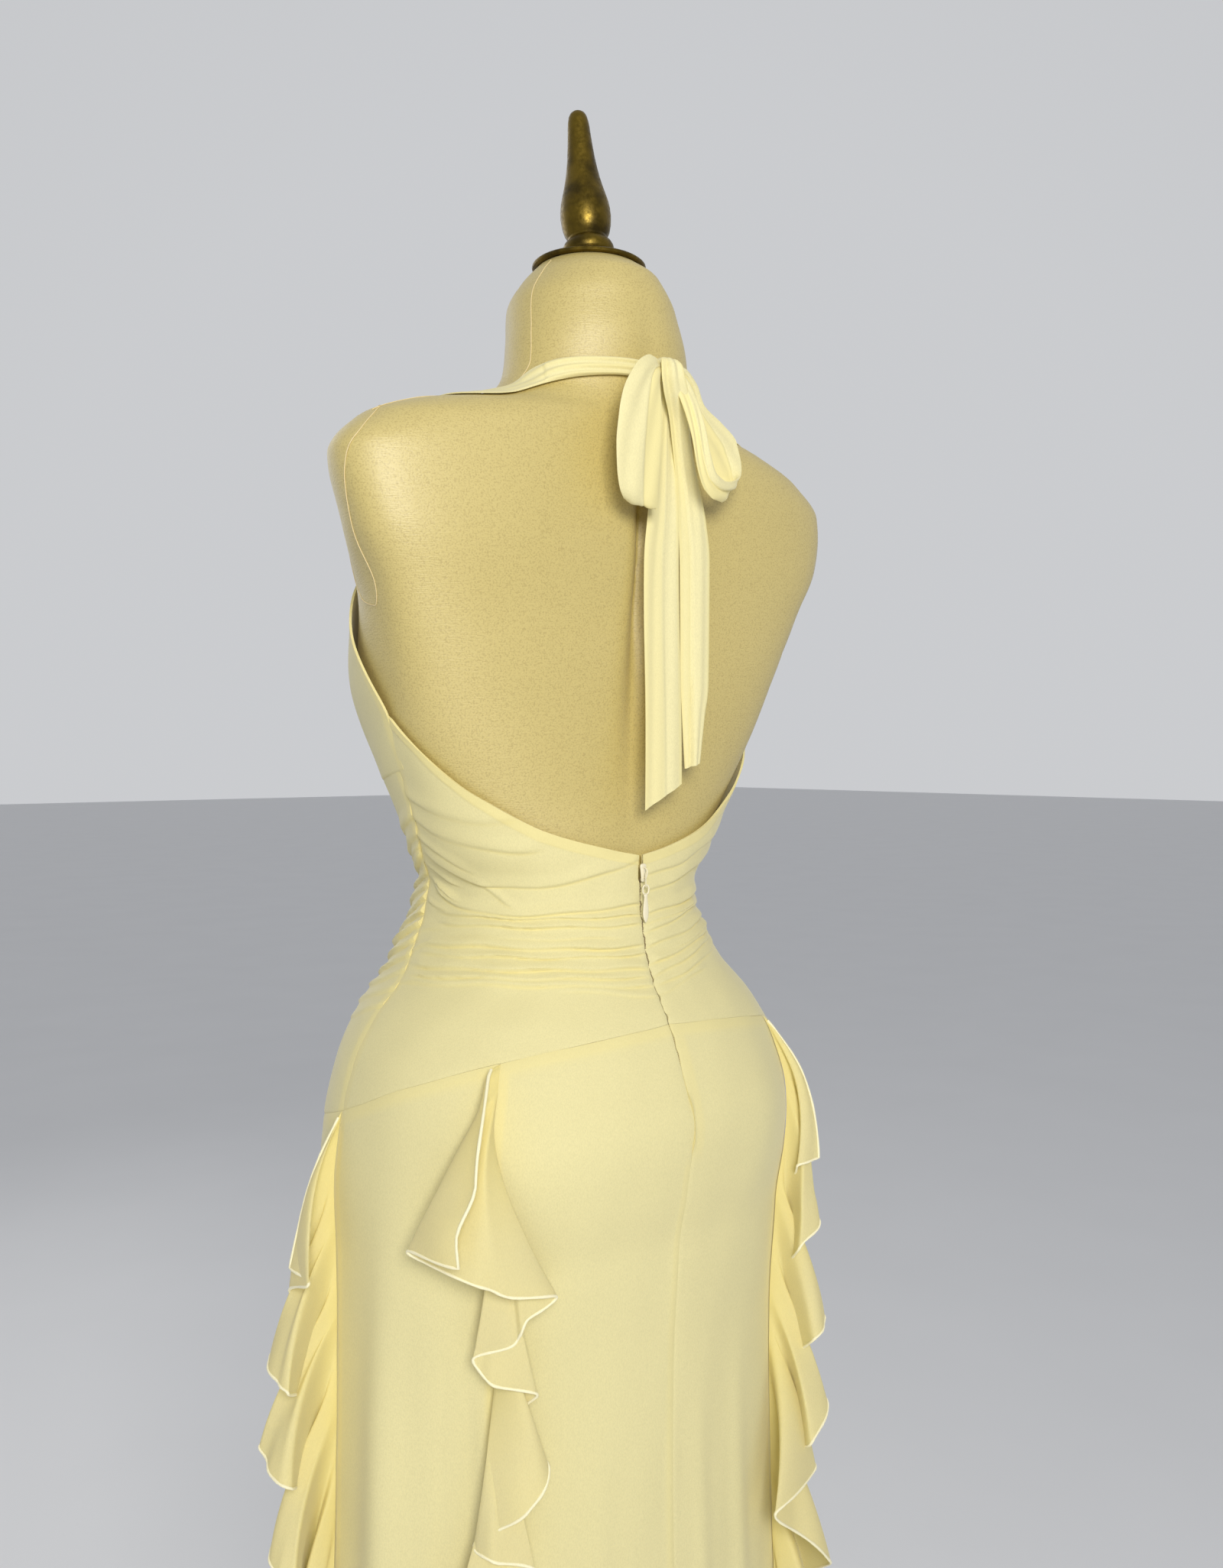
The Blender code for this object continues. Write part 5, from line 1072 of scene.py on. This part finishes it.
def make_skirt_panel(name, first, last, side, columns):
    """One skirt panel, from the dropped waist seam to the hem."""
    share, across = share_grid(SKIRT_ROWS, columns)
    around = first + (last - first) * across
    top = BASQUE_CURVE.at(angle_between(around, 0.0))[..., 0] - 0.5 * CLOTH_GAP
    height = top + (HEM_HEIGHT - top) * share ** 1.15
    plain = around.copy()
    reach = reach_at(plain, height)
    gap = np.degrees(0.5 * CLOTH_GAP / reach)
    at_zip = first == 0.0
    plain[:, 0] = zip_edge(height[:, 0], side, reach[:, 0]) if at_zip else plain[:, 0] + gap[:, 0]
    plain[:, -1] -= gap[:, -1]
    angle = side * plain
    from_first = np.radians(plain - first) * reach
    from_last = np.radians(last - plain) * reach
    fold = skirt_fold(angle, height) + skirt_fold(angle, height, SKIRT_RIPPLES, RIPPLE_GROWTH)
    fold = np.maximum(fold, -DEEPEST_FOLD)
    low = edge_turn(from_first, SKIRT_ROLL) + edge_turn(from_last, SKIRT_ROLL)
    low = low + edge_turn(top - height, LEVEL_ROLL)
    if at_zip and side < 0:
        below_zip = ease((ZIP_BOTTOM - height) / 0.004) * ease((height - TAPE_BOTTOM) / 0.006)
        low = low + 0.0011 * below_zip * np.exp(-((from_first - 0.0010) / 0.0007) ** 2)
    hem = HEM_RISE * within(height, HEM_HEIGHT + HEM_WIDTH, SOFT_FADE)
    soft = 0.0005 * wave_noise(angle / 20.0, height / 0.12, 21 + int(first))
    allowance = within(from_last, SKIRT_ALLOWANCE, SOFT_FADE)
    allowance = np.maximum(allowance, within(top - height, 0.007, SOFT_FADE))
    if not at_zip:
        at_edge = within(from_first, SKIRT_ALLOWANCE, SOFT_FADE)
    elif side < 0:
        at_edge = 0.8 * within(from_first, 0.0075, 0.0040) * ease((height - TAPE_BOTTOM + 0.008) / 0.016)
    else:
        at_edge = 0.7 * within(from_first, 0.0050, SOFT_FADE) * ease((TAPE_BOTTOM - height) / 0.006)
    allowance = np.maximum(allowance, at_edge)
    out = FORM_CLEARANCE + fold + soft * ease(from_first / 0.01) * ease(from_last / 0.01)
    front = skin(angle, height, out + CLOTH_WALL + low + hem + ALLOWANCE_RISE * allowance)
    layers_and_shade = np.clip(0.42 * allowance + 0.5 * (height < HEM_HEIGHT + HEM_WIDTH), 0.0, 1.0)
    lay_panel(name, front, skin(angle, height, out), layers_and_shade)


def lower_folds(start, phase):
    """Turning points that carry a ruffle's folds on down to the end of its seam."""
    crest_drop, crest_aside, crest_off = LOWER_CREST
    trough_drop, trough_aside, trough_off = LOWER_TROUGH
    rows = []
    root = start
    number = 0
    while root < LAST_ROOT:
        turn = 1.0 if number % 2 == 0 else -1.0
        uneven = math.sin(1.7 * number + phase)
        root = root + FOLD_STEP * (0.52 + 0.14 * uneven)
        rows.append((root, crest_drop + 0.006 * math.sin(2.1 * number), turn * (crest_aside + 0.008 * uneven),
                     crest_off + 0.006 * math.cos(2.3 * number + phase)))
        root = root + FOLD_STEP * (0.55 + 0.17 * math.sin(2.9 * number + phase))
        rows.append((root, trough_drop, -turn * (trough_aside + 0.005 * uneven), trough_off + 0.006 * uneven))
        number += 1
    return rows[:-1]


def leading_edge(across, held):
    """How far a ruffle's first edge has swung out at a share of its width."""
    swung = ease(across / 0.06) * (0.37 - 0.17 * ease((across - 0.08) / 0.40))
    swung = swung + 0.80 * ease((across - 0.62) / 0.28)
    return held * swung + (1.0 - held) * across ** 0.9


def cascade_points(seam, edge, phase, held, place, across):
    """Points of a ruffle's middle surface, ruled from its seam to its free edge."""
    side = 1.0 if seam > 0.0 else -1.0
    top = BASQUE_CURVE.at(abs(seam))[0] - 2.0 * SEAM_GAP
    root, drop, aside, off = np.moveaxis(edge.at(place), -1, 0)
    height = top - root - drop * across * (0.88 + 0.12 * across)
    reach = reach_at(np.full(height.shape, seam), height)
    first = np.exp(-((place / 0.5) ** 2))
    lead = leading_edge(across, held)
    angle = seam + side * np.degrees(aside * (across ** 1.1 * (1.0 - first) + lead * first) / reach)
    out = OUTER_FACE + CASCADE_ROOT_GAP + 0.5 * RUFFLE_WALL
    out = out + skirt_fold(angle, height)
    rise = across ** (1.1 - 0.35 * held)
    out = out + off * (across * (1.0 - first) + rise * first) * (1.20 - 0.20 * across)
    bulge = CASCADE_BULGE * (0.6 + 0.4 * np.sin(3.0 * place + phase))
    bulge = bulge * (1.0 - 0.8 * first * (1.0 - 0.5 * held))
    out = out + 4.0 * bulge * across * (1.0 - across)
    flutter = across ** 2 * np.sin(place * 3.9 + phase)
    flutter = flutter + 0.6 * across ** 3 * np.sin(place * 7.3 + 2.0 * phase)
    return skin(angle, height, out + CASCADE_FLUTTER * flutter)


def make_cascade(name, seam, upper, phase, held):
    """A waterfall ruffle set in a seam, with its merrowed edge."""
    rows = list(upper) + lower_folds(upper[-1][0], phase)
    turns = len(rows) - 1
    place, across = share_grid(turns * STEPS_A_FOLD, CASCADE_COLUMNS)
    place = place * turns
    middle = cascade_points(seam, row_curves(rows), phase, held, place, across)
    shift = grid_normals(middle) * (0.5 * RUFFLE_WALL)
    layers_and_shade = np.clip(1.0 - across * 1.4, 0.0, 1.0) * 0.6
    piece = wall(name + "_cloth", middle + shift, middle - shift, "ruffle_cloth", layers_and_shade)
    ride(piece, [name])
    path = np.concatenate([middle[0, 1:-1], middle[:, -1], middle[-1, -2:1:-1]])
    steps = np.arange(len(path))
    uneven = 1.0 + 0.10 * np.sin(steps * 0.9 + phase) + 0.06 * np.sin(steps * 2.3)
    rim = tube(name + "_merrow", path, MERROW_RADIUS * uneven, "merrow_thread")
    ride(rim, [])
    declare_cloth(middle)


def table_grid(rows, steps, columns):
    """Angles, heights and shares of a strip whose two edges are given row by row."""
    rise, share = share_grid(steps, columns)
    edges = row_curves(rows).at(rise[:, 0] * (len(rows) - 1.0))
    angle = edges[:, :1] + (edges[:, 2:3] - edges[:, :1]) * share
    height = edges[:, 1:2] + (edges[:, 3:4] - edges[:, 1:2]) * share
    return angle, height, share, rise


def make_halter_panel(side):
    """One front halter panel, gathered into the neck band."""
    name = "halter_cup_left" if side > 0 else "halter_cup_right"
    angle, height, share, rise = table_grid(HALTER_ROWS, *HALTER_GRID)
    reach = reach_at(angle, height)
    gap = np.degrees(0.5 * SEAM_GAP / reach)
    sewn = rise < 0.223
    angle = angle + gap * (share == 0.0) * sewn - gap * (share == 1.0) * sewn
    height = height + 0.5 * SEAM_GAP * (rise == 0.0)
    from_edge = np.minimum(share, 1.0 - share) * np.radians(np.abs(angle[:, -1:] - angle[:, :1])) * reach
    pleats = 0.5 - 0.5 * np.cos(share * FULL_TURN * 4.0 + 2.0 * rise)
    pleats = PLEAT_SIZE * ease((rise - 0.55) / 0.4) * pleats
    drag = 0.5 - 0.5 * np.cos(FULL_TURN * (share * 3.0 + rise * 2.2))
    drag = DRAG_SIZE * ease((0.45 - rise) / 0.35) * drag
    hem = within(from_edge, HALTER_HEM, STRIP_FADE)
    lift = FORM_CLEARANCE + HALTER_LIFT * ease((height - HALTER_ROWS[1][1]) / HALTER_LIFT_GROWTH)
    out = lift + CLOTH_WALL + (pleats + drag) * ease(from_edge / 0.006) + NECK_HEM_RISE * hem * (1.0 - sewn)
    front = skin(side * angle, height, out + edge_turn(rise * 0.25, HALTER_ROLL))
    lay_panel(name, front, skin(side * angle, height, lift), 0.5 * hem)


def make_halter_band():
    """The folded band round the back of the neck, with the join in its left half."""
    angle, height, share, rise = table_grid(BAND_ROWS, *BAND_GRID)
    angle = np.concatenate([angle, -angle[-2::-1]])
    height = np.concatenate([height, height[-2::-1]])
    share = np.concatenate([share, share[-2::-1]])
    way = np.linspace(0.0, 1.0, len(angle))[:, None]
    drift = 0.9 * np.sin(way * 9.0) + 0.5 * np.sin(way * 23.0 + 1.0)
    ridge = 0.5 + 0.5 * np.cos(FULL_TURN * 2.5 * share + drift)
    crown = np.sqrt(np.clip(1.0 - (2.0 * share - 1.0) ** 6, 0.0, 1.0))
    join = BAND_JOIN * within(angle, 63.5 + 5.0 * share, 1.0) * ease((angle - 30.0) / 20.0)
    flat = ease((np.abs(angle) - 58.0) / 20.0)
    lift = NAPE_LIFT - SHOULDER_DROP * flat + PANEL_RISE * ease((np.abs(angle) - 116.0) / 17.0)
    uneven = 1.0 + 0.25 * np.sin(way * 31.0 + 4.0 * share)
    thick = (BAND_CROWN + BAND_RIDGE * ridge * uneven) * (1.0 - 0.5 * flat) + join
    out = lift + BAND_EDGE + crown * thick
    height = height + 0.0006 * np.sin(way * 17.0)
    front, back = skin(angle, height, out), skin(angle, height, lift)
    lay_panel("halter_band", front, back, 0.5 * ridge * crown, "bow_cloth")


def ribbon_wall(name, grid, share, half_thickness, layers_and_shade):
    """A thin ribbon about a middle surface, its edges rounded."""
    crown = np.sqrt(np.clip(1.0 - (2.0 * share - 1.0) ** 8, 0.05, 1.0))
    shift = grid_normals(grid) * (half_thickness * crown)[..., None]
    piece = wall(name + "_cloth", grid + shift, grid - shift, "bow_cloth", layers_and_shade)
    ride(piece, [name])
    declare_cloth(grid)


def make_loop(name, rows, fold, fold_size, gathers, phase):
    """A loop of the bow: a soft folded ribbon between two edges, gathered at the knot."""
    way, share = share_grid(*LOOP_GRID)
    samples = row_curves(rows).at(way[:, 0] * (len(rows) - 1.0))
    origin = np.array((KNOT_CENTRE[0], BACK_PLANE_Y, KNOT_CENTRE[2]))
    scale = np.array((1.0, 1.0, -1.0))
    first = origin + samples[:, :3] * scale
    second = origin + samples[:, 3:] * scale
    grid = first[:, None] + (second - first)[:, None] * share[..., None]
    closing = (1.0 - np.sin(math.pi * way)) ** 1.6
    width = np.linalg.norm(second - first, axis=-1)[:, None]
    bend = GATHER_SHARE * width * closing * np.cos(FULL_TURN * gathers * share + phase)
    line = fold + 0.03 * np.sin(way * 6.0 + phase)
    open_part = 1.0 - closing
    bend = bend + fold_size * open_part * (ease((share - line) / 0.05) - 0.5)
    bend = bend + 0.0011 * open_part * np.sin(math.pi * share) * np.sin(way * 9.0 + phase)
    bend = bend + 0.0005 * open_part * np.cos(FULL_TURN * (share * 2.2 + way * 3.0) + phase)
    grid = grid - grid_normals(grid) * bend[..., None]
    ribbon_wall(name, grid, share, LOOP_HALF_WALL, 0.7 * ease((share - line) / 0.02))


def make_tail(name, rows, tip, fold, fold_size, phase):
    """A hanging ribbon with a slanted end and soft lengthwise folds."""
    way, share = share_grid(*TAIL_GRID)
    samples = row_curves(rows).at(way[:, 0] * (len(rows) - 1.0))
    left, right, out, height = (samples[:, i:i + 1] for i in range(4))
    drop = tip * (1.0 - share) * ease((way - 0.86) / 0.14)
    gathers = GATHER_SHARE * np.abs(right - left) * (1.0 - ease(way / 0.45))
    gathers = gathers * np.cos(1.5 * FULL_TURN * share + phase)
    line = fold + 0.04 * np.sin(way * 5.0 + phase)
    folds = fold_size * (ease((share - line) / 0.07) - 0.5) * (0.7 + 0.3 * np.sin(way * 8.0))
    folds = folds + 0.0007 * np.sin(FULL_TURN * (0.8 * share + 0.5 * way) + phase)
    folds = folds + 0.0003 * np.sin(FULL_TURN * (2.6 * share + 1.2 * way) + 2.0 * phase)
    sway = 0.0007 * np.sin(way * 11.0 + phase) * ease((way - 0.3) / 0.2)
    x = KNOT_CENTRE[0] + left + (right - left) * share + sway
    y = BACK_PLANE_Y + out + gathers + folds * ease(way / 0.2)
    grid = np.stack([x, y, height - drop], -1)
    layers_and_shade = ease((np.abs(share - 0.5) - 0.40) / 0.02) + 0.6 * ease((line - share) / 0.03)
    ribbon_wall(name, grid, share, TAIL_HALF_WALL, 0.6 * np.clip(layers_and_shade, 0.0, 1.0))


def squared(value, power):
    """A value's power that keeps its sign."""
    return np.sign(value) * np.abs(value) ** power


def make_knot():
    """The knot: a ribbon pulled tight round the band, with slanted folds."""
    rows, columns = KNOT_GRID
    rise = np.linspace(-math.pi / 2.0, math.pi / 2.0, rows + 1)[1:-1, None]
    turn = np.linspace(0.0, FULL_TURN, columns, endpoint=False)[None, :]
    x = squared(np.cos(rise), 0.55) * squared(np.cos(turn), 0.7)
    y = squared(np.cos(rise), 0.55) * squared(np.sin(turn), 0.7)
    z = squared(np.sin(rise), 0.75) + 0.0 * turn
    folds = 1.0 + 0.07 * np.cos(x * 7.5 + z * 1.8 + 0.6) - 0.05 * np.exp(-((x - 0.25 * z + 0.1) / 0.12) ** 2)
    half = 0.5 * np.array(KNOT_SIZE) * np.array(KNOT_TIGHTNESS)
    points = np.stack([x * folds, y * folds, z * (1.0 + 0.03 * np.sin(x * 6.0))], -1) * half
    points = points + np.array(KNOT_CENTRE)
    ends = [points[-1].mean(0) + (0.0, 0.0, 0.0002), points[0].mean(0) - (0.0, 0.0, 0.0002)]
    piece = ring_piece("knot_cloth", points, "bow_cloth", 80.0, ends)
    ride(piece, ["bow_knot"])


def joined(name, pieces, node_name, body):
    """One object from several closed pieces of the zip."""
    bm = bmesh.new()
    for piece in pieces:
        bm.from_mesh(piece.data)
        bpy.data.objects.remove(piece, do_unlink=True)
    whole = place_mesh(name, mesh_of(bm, name), "zip_ivory", 45.0)
    ride(whole, [node_name], body)


def rounded_bar(name, rows, middle_y, steps=20):
    """A closed bar of rounded level sections from (height, half width, half thickness) rows."""
    turns = np.arange(steps) * FULL_TURN / steps
    rings = []
    for height, wide, thick in rows:
        x = wide * squared(np.cos(turns), 0.8)
        y = thick * squared(np.sin(turns), 0.8)
        rings.append(np.stack([x, middle_y + y, height + 0.0 * x], -1))
    return ring_piece(name, np.array(rings), "zip_ivory")


def ring_wire(name, middle, half_width, half_length, radius, turn):
    """A closed oval wire; its ends overlap inside the wire."""
    around = np.linspace(0.0, FULL_TURN, 49)
    flat = half_width * np.cos(around)
    straight = half_length - half_width
    tall = half_width * np.sin(around) + np.sign(np.round(np.sin(around), 6)) * straight
    aside = np.array((math.cos(turn), math.sin(turn), 0.0))
    points = np.array(middle) + flat[:, None] * aside + tall[:, None] * np.array((0.0, 0.0, 1.0))
    return tube(name, points, radius, "zip_ivory", 10)


def make_zip_coil():
    """The zip's two rows of teeth, closed below the slider and apart above it."""
    block = bmesh.new()
    bmesh.ops.create_cube(block, size=1.0)
    block.transform(Matrix.Diagonal((*TOOTH_SIZE, 1.0)))
    bmesh.ops.bevel(block, geom=list(block.edges), offset=0.0002, segments=1, profile=0.5, affect="EDGES")
    tooth = mesh_of(block, "tooth")
    teeth = []
    for number, height in enumerate(np.arange(CHAIN_BOTTOM, SLIDER_HEIGHT - 0.004, TOOTH_PITCH)):
        teeth.append((height, zip_wobble(height) + TOOTH_STAGGER * (1.0 if number % 2 else -1.0)))
    for height in np.arange(SLIDER_HEIGHT + 0.0040, CHAIN_TOP, TOOTH_PITCH):
        spread = zip_half_opening(height) - 0.0003
        teeth += [(height, spread), (height + 0.5 * TOOTH_PITCH, -spread)]
    bm = bmesh.new()
    for height, aside in teeth:
        y = skin(0.0, height, FORM_CLEARANCE + 0.45 * CLOTH_WALL)[1]
        tooth.transform(Matrix.Translation((aside, y, height)))
        bm.from_mesh(tooth)
        tooth.transform(Matrix.Translation((-aside, -y, -height)))
    bpy.data.meshes.remove(tooth)
    coil = place_mesh("zip_coil", mesh_of(bm, "zip_coil"), "zip_shadow")
    ride(coil, ["zip_chain"], MAIN_BODY)


def make_zip():
    """The zip's slider, and the link and drop of its pull."""
    front = skin(0.0, SLIDER_HEIGHT, OUTER_FACE)[1] + SEAM_GAP + SLIDER_LIFT + SLIDER_SIZE[1]
    plate = [(SLIDER_HEIGHT + above, wide, thick) for above, wide, thick in SLIDER_SECTIONS]
    body = rounded_bar("slider_plate", plate, front - 0.5 * SLIDER_SIZE[1], 28)
    turn = np.linspace(0.0, math.pi, 25)
    rise = (BRIDGE_RISE + BRIDGE_SINK) * np.sin(turn) ** BRIDGE_SQUARENESS - BRIDGE_SINK
    arch = np.stack([0.0 * turn, front + rise, SLIDER_HEIGHT + BRIDGE_HALF_LENGTH * np.cos(turn)], -1)
    bridge = tube("slider_bridge", arch, BRIDGE_WIRE, "zip_ivory", 10)
    neck = [(plate[0][0] + above, 0.0003, 0.0014) for above in (0.0003, 0.0020)]
    neck = rounded_bar("slider_neck", neck, front - 0.0022, 12)
    joined("zip_slider_body", [body, bridge, neck], "zip_slider", MAIN_BODY)

    pivot = np.array((0.0, front + PIVOT_RISE, SLIDER_HEIGHT))
    middle = pivot - (0.0, 0.0, LINK_HALF_LENGTH)
    turn = math.radians(LINK_TURN)
    link = ring_wire("link_wire", middle, LINK_HALF_WIDTH, LINK_HALF_LENGTH, LINK_WIRE, turn)
    joined("zip_link_wire", [link], "zip_link", PULL_BODY)
    eyelet = pivot - (0.0, 0.0, 2.0 * LINK_HALF_LENGTH + LINK_WIRE)
    ring_width, ring_length, ring_radius = DROP_RING
    hung = eyelet - (0.0, 0.0, ring_length - 0.0019)
    ring = ring_wire("drop_ring", hung, ring_width, ring_length, ring_radius, 0.0)
    blade = [(eyelet[2] - below, wide, thick) for below, wide, thick in DROP_SECTIONS]
    joined("zip_drop_body", [ring, rounded_bar("drop_blade", blade, eyelet[1])], "zip_drop", PULL_BODY)


def make_studio():
    """The floor, the room's light, the lamps and the camera."""
    bpy.ops.mesh.primitive_plane_add(size=60.0, location=(0.0, 0.0, 0.0))
    floor = bpy.context.active_object
    floor.name = "studio_floor"
    floor.data.materials.append(MATERIALS["studio_floor"])
    scene = bpy.context.scene
    world = bpy.data.worlds.new("studio")
    world.use_nodes = True
    tree = world.node_tree
    background = tree.nodes["Background"]
    background.inputs["Strength"].default_value = ROOM_STRENGTH
    facing = node(tree, "ShaderNodeVectorMath", operation="DOT_PRODUCT")
    facing.inputs[1].default_value = WALL_DIRECTION
    tree.links.new(node(tree, "ShaderNodeTexCoord").outputs["Generated"], facing.inputs[0])
    share = node(tree, "ShaderNodeMath", operation="MULTIPLY_ADD")
    share.inputs[1].default_value = 0.5
    share.inputs[2].default_value = 0.5
    tree.links.new(facing.outputs["Value"], share.inputs[0])
    tree.links.new(ramp(tree, share.outputs["Value"], ROOM_COLOURS), background.inputs["Color"])
    scene.world = world
    scene.view_settings.view_transform = "Standard"
    for name, place, power, size, colour in LAMPS:
        data = bpy.data.lights.new(name, "AREA")
        data.energy = power
        data.size = size
        data.color = colour
        lamp = bpy.data.objects.new(name, data)
        lamp.location = place
        lamp.rotation_euler = (Vector((0.0, 0.0, 1.0)) - Vector(place)).to_track_quat("-Z", "Y").to_euler()
        scene.collection.objects.link(lamp)
    data = bpy.data.cameras.new("camera")
    data.lens = CAMERA_LENS
    data.sensor_fit = "AUTO"
    data.shift_y = CAMERA_SHIFT
    camera = bpy.data.objects.new("camera", data)
    camera.location = CAMERA_PLACE
    camera.rotation_euler = (math.radians(90.0), 0.0, math.radians(CAMERA_TURN))
    scene.collection.objects.link(camera)
    scene.camera = camera


make_materials()
make_studio()
make_form()
make_stand()
make_waist_back(1.0)
make_waist_back(-1.0)
make_waist_front()
for panel_row in SKIRT_PANELS:
    make_skirt_panel(*panel_row)
for cascade_row in CASCADES:
    make_cascade(*cascade_row)
make_halter_panel(1.0)
make_halter_panel(-1.0)
make_halter_band()
make_knot()
make_loop("bow_loop_left", LOOP_LEFT_EDGES, 0.56, 0.0012, 2.0, 0.4)
make_loop("bow_loop_right", LOOP_RIGHT_EDGES, 0.42, 0.0010, 2.5, 1.6)
make_tail("bow_tail_left", TAIL_LEFT_ROWS, TAIL_LEFT_TIP, 0.55, -0.0008, 0.5)
make_tail("bow_tail_right", TAIL_RIGHT_ROWS, TAIL_RIGHT_TIP, 0.36, 0.0030, 2.1)
make_zip_coil()
make_zip()
